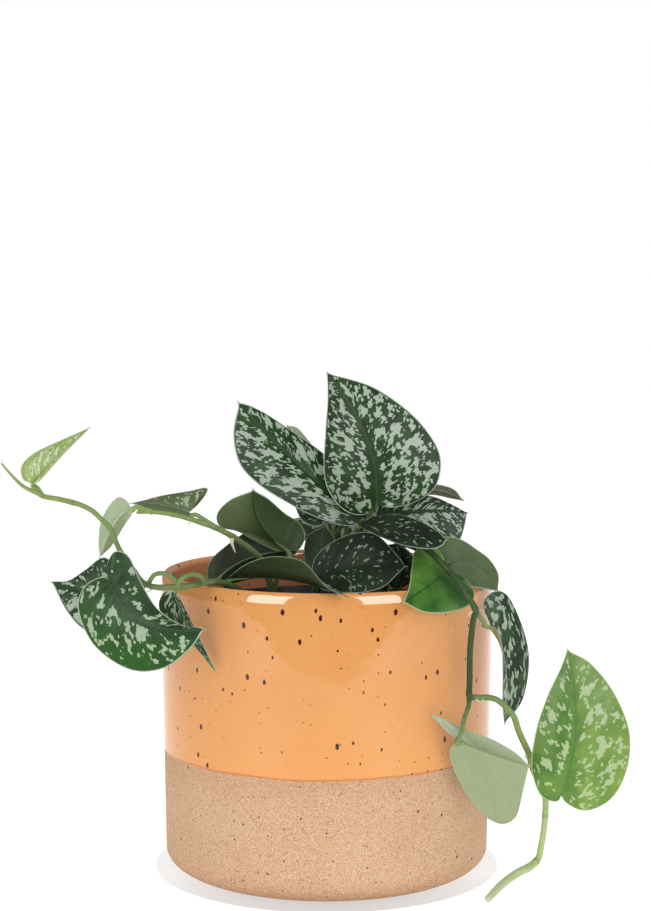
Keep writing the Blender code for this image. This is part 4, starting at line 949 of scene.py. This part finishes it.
def blade_points(leaf):
    """A blade's middle surface as points, each with what its finish needs: how far it is out from
    the midrib, along the blade and from the margin, and its row."""
    surface = BladeSurface(leaf)
    sweep = leaf.finish.sweep
    outs = [-out for out in reversed(BLADE_OUTS)] + [0.0] + list(BLADE_OUTS)
    spots = [(surface.midrib(0), 0.0, 0.0, 0.0, 0.0)]
    runs = {-1: 0.0, 1: 0.0}
    before = {-1: surface.base, 1: surface.base}
    for k in range(1, BLADE_ROWS):
        share = k / BLADE_ROWS
        rib = surface.midrib(share ** RIB_LAG)
        normal = surface.normal(share)
        reach = {half: surface.margin(half, share) - rib for half in (-1, 1)}
        for half in (-1, 1):
            here = rib + reach[half] * 0.5
            runs[half] += (here - before[half]).length
            before[half] = here
        for out in outs:
            half = -1 if out < 0 else 1
            width = reach[half].length
            away = abs(out)
            bulge = math.sin(math.pi * away)
            arch = ARCH * width * bulge * math.sin(math.pi * share)
            across_veins = runs[half] - (sweep - VEIN_CURVE * away * width) * away * width
            quilt = math.cos(2 * math.pi * across_veins / VEIN_SPACING) / math.hypot(1, sweep)
            quilt *= QUILT * bulge ** QUILT_POWER
            lift = arch + quilt * min(1.0, width / QUILT_WIDTH)
            spot = rib + reach[half] * away + normal * lift
            spots.append((spot, out * width, runs[half], (1 - away) * width, share))
    spots.append((surface.midrib(1), 0.0, runs[1], 0.0, 1.0))
    return spots


def blade(leaf, finish, seed):
    """A fine blade: two faces with their relief, a rounded edge, and attributes for its finish."""
    spots = blade_points(leaf)
    width = 2 * len(BLADE_OUTS) + 1
    rows = BLADE_ROWS - 1
    count = len(spots)
    last = count - 1
    faces = []
    for column in range(width - 1):
        faces.append((0, 1 + column + 1, 1 + column))
        corner = 1 + (rows - 1) * width + column
        faces.append((corner, corner + 1, last))
    for row in range(rows - 1):
        for column in range(width - 1):
            corner = 1 + row * width + column
            faces.append((corner, corner + 1, corner + width + 1, corner + width))
    place = np.array([spot[0] for spot in spots])
    normals = np.zeros_like(place)
    for face in faces:
        first, second, third = place[list(face[:3])]
        normal = np.cross(second - first, third - first)
        for corner in face:
            normals[corner] += normal
    normals /= np.linalg.norm(normals, axis=1)[:, None]
    side, along, edge, share = np.array([spot[1:] for spot in spots]).T
    half = BLADE_THICKNESS / 2 * (1 - EDGE_THINNING * np.exp(-edge / EDGE_FADE))
    near = np.exp(-(side / RIDGE_WIDTH) ** 2) * (1 - share) * np.minimum(1.0, edge / RIDGE_FADE)
    upper = place + normals * (half - GROOVE * near)[:, None]
    lower = place - normals * (half + RIDGE * near)[:, None]
    left, right = [[0, *range(start, start + rows * width, width), last] for start in (1, width)]
    loop = left + right[-2:0:-1]
    inner = [min(max(corner + (1 if corner in left else -1), 0), last) for corner in loop]
    outward = place[loop] - place[inner]
    size = np.linalg.norm(outward, axis=1)
    outward = outward / np.maximum(size, SHORTEST)[:, None]
    outward[size < SHORTEST] = 0.0
    edge_ring = place[loop] + outward * EDGE_BULGE
    polygons = faces + [tuple(count + corner for corner in reversed(face)) for face in faces]
    for k, corner in enumerate(loop):
        after = (k + 1) % len(loop)
        nearby = loop[after]
        polygons.append((corner, 2 * count + k, 2 * count + after, nearby))
        polygons.append((2 * count + k, count + corner, count + nearby, 2 * count + after))
    points = np.vstack([upper, lower, edge_ring]) * MM
    item = show_mesh("fine_" + leaf.name, points.tolist(), faces=polygons)
    mesh = item.data
    add_values(mesh, "upper_face", [1.0] * count + [0.0] * count + [0.5] * len(loop))
    add_values(mesh, "edge_distance", np.concatenate([edge, edge, np.zeros(len(loop))]))
    add_values(mesh, "vein_row", np.concatenate([share, share, share[loop]]))
    flat = np.stack([side, along, np.full(count, PATTERN_STEP * seed)], axis=1)
    add_values(mesh, "blade_place", np.vstack([flat, flat, flat[loop]]), "FLOAT_VECTOR")
    mesh.materials.append(finish)
    mesh.shade_smooth()
    return item


def add_values(mesh, name, values, kind="FLOAT"):
    """Give each vertex a value that a finish or a tree reads."""
    attribute = mesh.attributes.new(name, kind, "POINT")
    attribute.data.foreach_set("vector" if kind == "FLOAT_VECTOR" else "value",
                               np.asarray(values, dtype=np.float32).ravel())


def show(name, data):
    """An object of the scene, from its mesh, its light or its lens."""
    item = bpy.data.objects.new(name, data)
    bpy.context.scene.collection.objects.link(item)
    return item


def show_mesh(name, points, edges=(), faces=()):
    """An object with a new mesh, from points in metres."""
    mesh = bpy.data.meshes.new(name)
    mesh.from_pydata(points, edges, faces)
    return show(name, mesh)


def hold(item, slot, *nodes):
    """A piece of the plant or its pots: it stays with the body and stands for its solids."""
    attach(item, "root")
    if nodes:
        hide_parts(*nodes)


def hold_plant(item, slot, name):
    """A blade or a stem. The photo's glaze mirrors none of them, and none beside the pot casts a
    shadow on it."""
    item.visible_glossy = False
    item.visible_shadow = name not in BESIDE_POT
    hold(item, slot, name)


def value_at(steps, run):
    """A stem's tone or radius at a length from its start."""
    return float(np.interp(run, *zip(*steps)))


def nearness(run, marks, length):
    """1 where a place on a stem is at one of its marks, such as a ring, and falling off to 0."""
    return max((math.exp(-((run - mark) / length) ** 2) for mark in marks), default=0.0)


def routes_object(name, routes):
    """One mesh of polylines. A route is a list of (point in mm, radius in mm, tone, scar)."""
    points = []
    edges = []
    for route in routes:
        first = len(points)
        points += route
        edges += [(first + k, first + k + 1) for k in range(len(route) - 1)]
    spots, radii, tones, scars = zip(*points)
    item = show_mesh(name, [tuple(spot * MM) for spot in spots], edges)
    add_values(item.data, "thickness", [radius * MM for radius in radii])
    add_values(item.data, "stem_tone", tones)
    add_values(item.data, "stem_scar", scars)
    return item


def vine_routes(vine):
    """The stem's own route and its petioles', with their thickness, tone and scars."""
    x, y, _ = vine.route[0]
    upright = [(x, y, SOIL_LEVEL + height) for height in STEM_FOOT]
    path = smooth_path(upright + vine.route[1:], STEM_STEP)
    runs = lengths_along(path)
    stem = []
    for spot, run in zip(path, runs):
        left = runs[-1] - run
        taper = min(1.0, vine.tip + (1 - vine.tip) * left / STEM_TAPER)
        taper *= min(1.0, END_SHARE + left / END_LENGTH)
        swell = 1 + RING_SWELL * nearness(run, vine.rings, RING_LENGTH)
        stem.append((spot, value_at(vine.girth, run) * taper * swell, value_at(vine.tones, run),
                     nearness(run, vine.rings, SCAR_LENGTH)))
    routes = [stem]
    for leaf_name, route in vine.petioles:
        leaf = next(item for item in LEAVES if item.name == leaf_name)
        start = min(range(len(path)), key=lambda k: (path[k] - Vector(route[0])).length)
        tone = value_at(vine.tones, runs[start]) + PETIOLE_PALER
        paler = PALE_ELBOWS.get(leaf_name, ELBOW_TONE)
        spots, lying = petiole_path(route, leaf)
        along = lengths_along(spots)
        thinning = [share * lying for share in PETIOLE_END[0]]
        petiole = []
        for spot, run in zip(spots, along):
            left = along[-1] - run
            radius = PETIOLE_RADIUS * (1 + FOOT_SWELL * math.exp(-(run / FOOT_LENGTH) ** 2)
                                       + KNEE_SWELL * nearness(left, [lying], KNEE_LENGTH))
            radius *= float(np.interp(left, thinning, PETIOLE_END[1]))
            petiole.append((spot, radius, tone + paler * (run / along[-1]), 0.0))
        routes.append(petiole)
    return routes


def petiole_path(route, leaf):
    """A petiole's route, led under its blade and a little way along the midrib, and the length of
    it that lies there."""
    surface = BladeSurface(leaf)
    base, tangent, normal = surface.midrib(0), surface.tangent(0), surface.normal(0)
    elbow = base - normal * ELBOW_DROP - tangent * ELBOW_BACK
    below = [surface.midrib(share) - normal * depth for share, depth in PETIOLE_SEATS]
    lying = (surface.midrib(PETIOLE_SEATS[-1][0]) - base).length + KNEE_SETBACK
    return smooth_path([*route, elbow, *below], STEM_STEP), lying


def arc(centre, across, up, start, end, steps):
    """Points (r, z) on an arc of an ellipse, with its half axes and its angles in degrees."""
    angles = [math.radians(start + (end - start) * k / steps) for k in range(steps + 1)]
    return [(centre[0] + across * math.cos(angle), centre[1] + up * math.sin(angle))
            for angle in angles]


def wall_radius(z):
    return POT_BASE_RADIUS + (POT_TOP_RADIUS - POT_BASE_RADIUS) * z / POT_HEIGHT


def wall_points(start, end, out):
    """Points on the pot's wall, a step apart from one height towards another."""
    step = math.copysign(POT_WALL_STEP, end - start)
    count = math.ceil((end - start) / step)
    return [(wall_radius(start + k * step) + out, start + k * step) for k in range(count)]


def pot_profile():
    """Half the outer pot's section, from the middle of its foot round to that of its floor."""
    lip = POT_WALL / 2
    lip_radius = POT_TOP_RADIUS - lip
    corner = POT_INNER_CORNER
    inner = wall_radius(POT_FLOOR) - POT_WALL
    above = GLAZE_LINE + GLAZE_EDGE[-1][0] + POT_WALL_STEP
    edge = [(wall_radius(GLAZE_LINE + lift) + out, GLAZE_LINE + lift) for lift, out in GLAZE_EDGE]
    return [
        (0, 0), (POT_FOOT_RADIUS / 2, 0), (POT_FOOT_RADIUS - POT_WALL_END, 0),
        *arc((POT_FOOT_RADIUS, POT_FOOT_RISE), wall_radius(POT_FOOT_RISE) - POT_FOOT_RADIUS,
             POT_FOOT_RISE, -90, 0, POT_ARC_STEPS),
        *wall_points(POT_FOOT_RISE + POT_WALL_STEP, GLAZE_LINE - POT_WALL_END, 0.0),
        *edge, *wall_points(above, POT_HEIGHT - LIP_FALL - POT_WALL_END, GLAZE_SWELL),
        *arc((lip_radius, POT_HEIGHT - LIP_FALL), lip, LIP_FALL, 0, 90, 2 * POT_ARC_STEPS),
        *arc((lip_radius, POT_HEIGHT - lip), lip, lip, 90, 180, POT_ARC_STEPS)[1:],
        *wall_points(POT_HEIGHT - lip - POT_WALL_STEP, POT_FLOOR + corner + POT_WALL_END,
                     -POT_WALL),
        *arc((inner - corner, POT_FLOOR + corner), corner, corner, 0, -90, POT_ARC_STEPS),
        (inner / 2, POT_FLOOR), (0, POT_FLOOR),
    ]


def soil_surface(x, y):
    """Height of the soil, a few low heaps round the stems."""
    heaps = math.sin(x / 9.0 + 0.8) * math.cos(y / 11.0) + 0.5 * math.sin((x + 2 * y) / 7.0)
    return SOIL_LEVEL + SOIL_RELIEF * heaps


def soil_radius(z):
    """The nursery pot's inside at a height, less the gap that the soil leaves."""
    share = (z - NURSERY_FLOOR) / NURSERY_HEIGHT
    inside = NURSERY_BASE_RADIUS + (NURSERY_TOP_RADIUS - NURSERY_BASE_RADIUS) * share - NURSERY_WALL
    return inside - SOIL_WALL_GAP


def soil_object():
    """The soil's body: its surface with its heaps, and its side down to the nursery pot's floor."""
    edge = soil_radius(SOIL_LEVEL)
    rings = [(edge * k / SOIL_RINGS, SOIL_LEVEL) for k in range(SOIL_RINGS + 1)]
    rings += [(soil_radius(z), z) for z in (SOIL_LEVEL - SOIL_SHOULDER, SOIL_LOW)]
    rings.append((0.0, SOIL_LOW))
    points = []
    polygons = []
    for radius, z in rings:
        for k in range(SOIL_TURNS):
            angle = 2 * math.pi * k / SOIL_TURNS
            x, y = radius * math.cos(angle), radius * math.sin(angle)
            height = soil_surface(x, y) if z == SOIL_LEVEL else z
            points.append((x * MM, y * MM, height * MM))
    for low in range(0, len(points) - SOIL_TURNS, SOIL_TURNS):
        high = low + SOIL_TURNS
        for k in range(SOIL_TURNS):
            after = (k + 1) % SOIL_TURNS
            polygons.append((low + k, high + k, high + after, low + after))
    return show_mesh("fine_potting_soil", points, faces=polygons)


def build_pots():
    profile = [(radius * MM, 0, z * MM) for radius, z in pot_profile()]
    edges = [(k, k + 1) for k in range(len(profile) - 1)]
    pot = show_mesh("fine_cachepot", profile, edges)
    grown(pot, turning_tree(), {"Turns": POT_TURNS, "Sway": POT_SWAY * MM,
                                "Material": pot_finish()})
    hold(pot, "glazed_stoneware", "cachepot")
    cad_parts["nursery_pot"].material_slots[0].material = plastic_finish()
    soil = grown(soil_object(), crumb_tree(), {**CRUMBS, "Material": soil_finish()})
    hold(soil, "potting_mix", "potting_soil")


def build_stems():
    tubes = tube_tree()
    finish = stem_finish()
    for vine in VINES:
        stem = routes_object("fine_" + vine.name, vine_routes(vine))
        grown(stem, tubes, {"Sides": STEM_SIDES, "Material": finish})
        hold_plant(stem, "stem_green", vine.name)
    routes = []
    for radius, points in ROOTS:
        path = smooth_path(points, ROOT_STEP)
        reach = len(path) - 1
        routes.append([(spot, radius * (1 - ROOT_TAPER * k / reach), 0.0, 0.0)
                       for k, spot in enumerate(path)])
    roots = routes_object("aerial_roots", routes)
    grown(roots, tubes, {"Sides": ROOT_SIDES, "Material": root_finish()})
    hold(roots, "stem_green")


def build_blades():
    finishes = {}
    for seed, leaf in enumerate(LEAVES):
        look = leaf.finish
        if look.name not in finishes:
            finishes[look.name] = blade_finish(look)
        hold_plant(blade(leaf, finishes[look.name], seed), look.slot, leaf.name)


def build_lights():
    for name, place, target, size, power, on_surfaces, in_reflections in LIGHTS:
        light = bpy.data.lights.new(name, "AREA")
        light.shape = "RECTANGLE"
        light.size, light.size_y = size
        light.energy = power
        item = show(name, light)
        item.location = place
        item.rotation_euler = (Vector(target) - Vector(place)).to_track_quat("-Z", "Y").to_euler()
        item.visible_diffuse = on_surfaces
        item.visible_glossy = in_reflections


def floor_finish():
    """Backlit white acrylic sheet: it is white where nothing stands on it, and it has a painted
    shadow round the foot, where its glow is turned down to a pale grey that is deepest at the
    front."""
    material, node = new_finish("backlit_white_acrylic")
    place = object_mm(node)
    away = node(VECTOR, (place,), out="Value", operation="LENGTH")
    behind = node(SPLIT, (place,), out="Y")
    # Painted shadow: inside a disc a little wider than the pot the glow is turned down, deepest at
    # the front.
    deep = node(RANGE, (behind, -74.0, -20.0, 0.46, 0.72))
    shadow = node(RANGE, (away, 72.0, 73.6, deep, 0.9), **SOFT)
    glow = node(RANGE, (away, 74.0, 120.0, 0.0, 0.14))
    glow = node(MATH, (shadow, glow), operation="ADD")
    feed(material.node_tree.nodes["Principled BSDF"],
         {"Base Color": "#8C8C8C", "Roughness": 0.6, "Emission Color": "#FFFFFF",
          "Emission Strength": glow})
    return material


def build_stage():
    """A white floor, the lights, a white studio that is grey in reflections, and the camera."""
    corners = [(x, y, 0) for x, y in ((-FLOOR_HALF, FLOOR_NEAR), (FLOOR_HALF, FLOOR_NEAR),
                                      (FLOOR_HALF, FLOOR_FAR), (-FLOOR_HALF, FLOOR_FAR))]
    floor = show_mesh("white_floor", corners, faces=[(0, 1, 2, 3)])
    floor.data.materials.append(floor_finish())
    build_lights()
    world = bpy.data.worlds.new("white_studio")
    world.use_nodes = True
    node = partial(add, world.node_tree)
    seen = node("ShaderNodeLightPath").node.outputs
    shade = layered(node, (0.55, 0.55, 0.56, 1.0), (seen["Is Glossy Ray"], (0.2, 0.2, 0.21, 1.0)),
                    (seen["Is Camera Ray"], "#FFFFFF"))
    feed(world.node_tree.nodes["Background"], (shade,))
    bpy.context.scene.world = world
    bpy.context.scene.view_settings.view_transform = "Standard"
    lens = bpy.data.cameras.new("camera")
    lens.lens = CAMERA_LENS
    lens.sensor_width = CAMERA_SENSOR
    camera = show("camera", lens)
    camera.location = CAMERA_PLACE
    camera.rotation_euler = (math.radians(90 - CAMERA_PITCH), 0, 0)
    bpy.context.scene.camera = camera


build_stage()
build_pots()
build_stems()
build_blades()
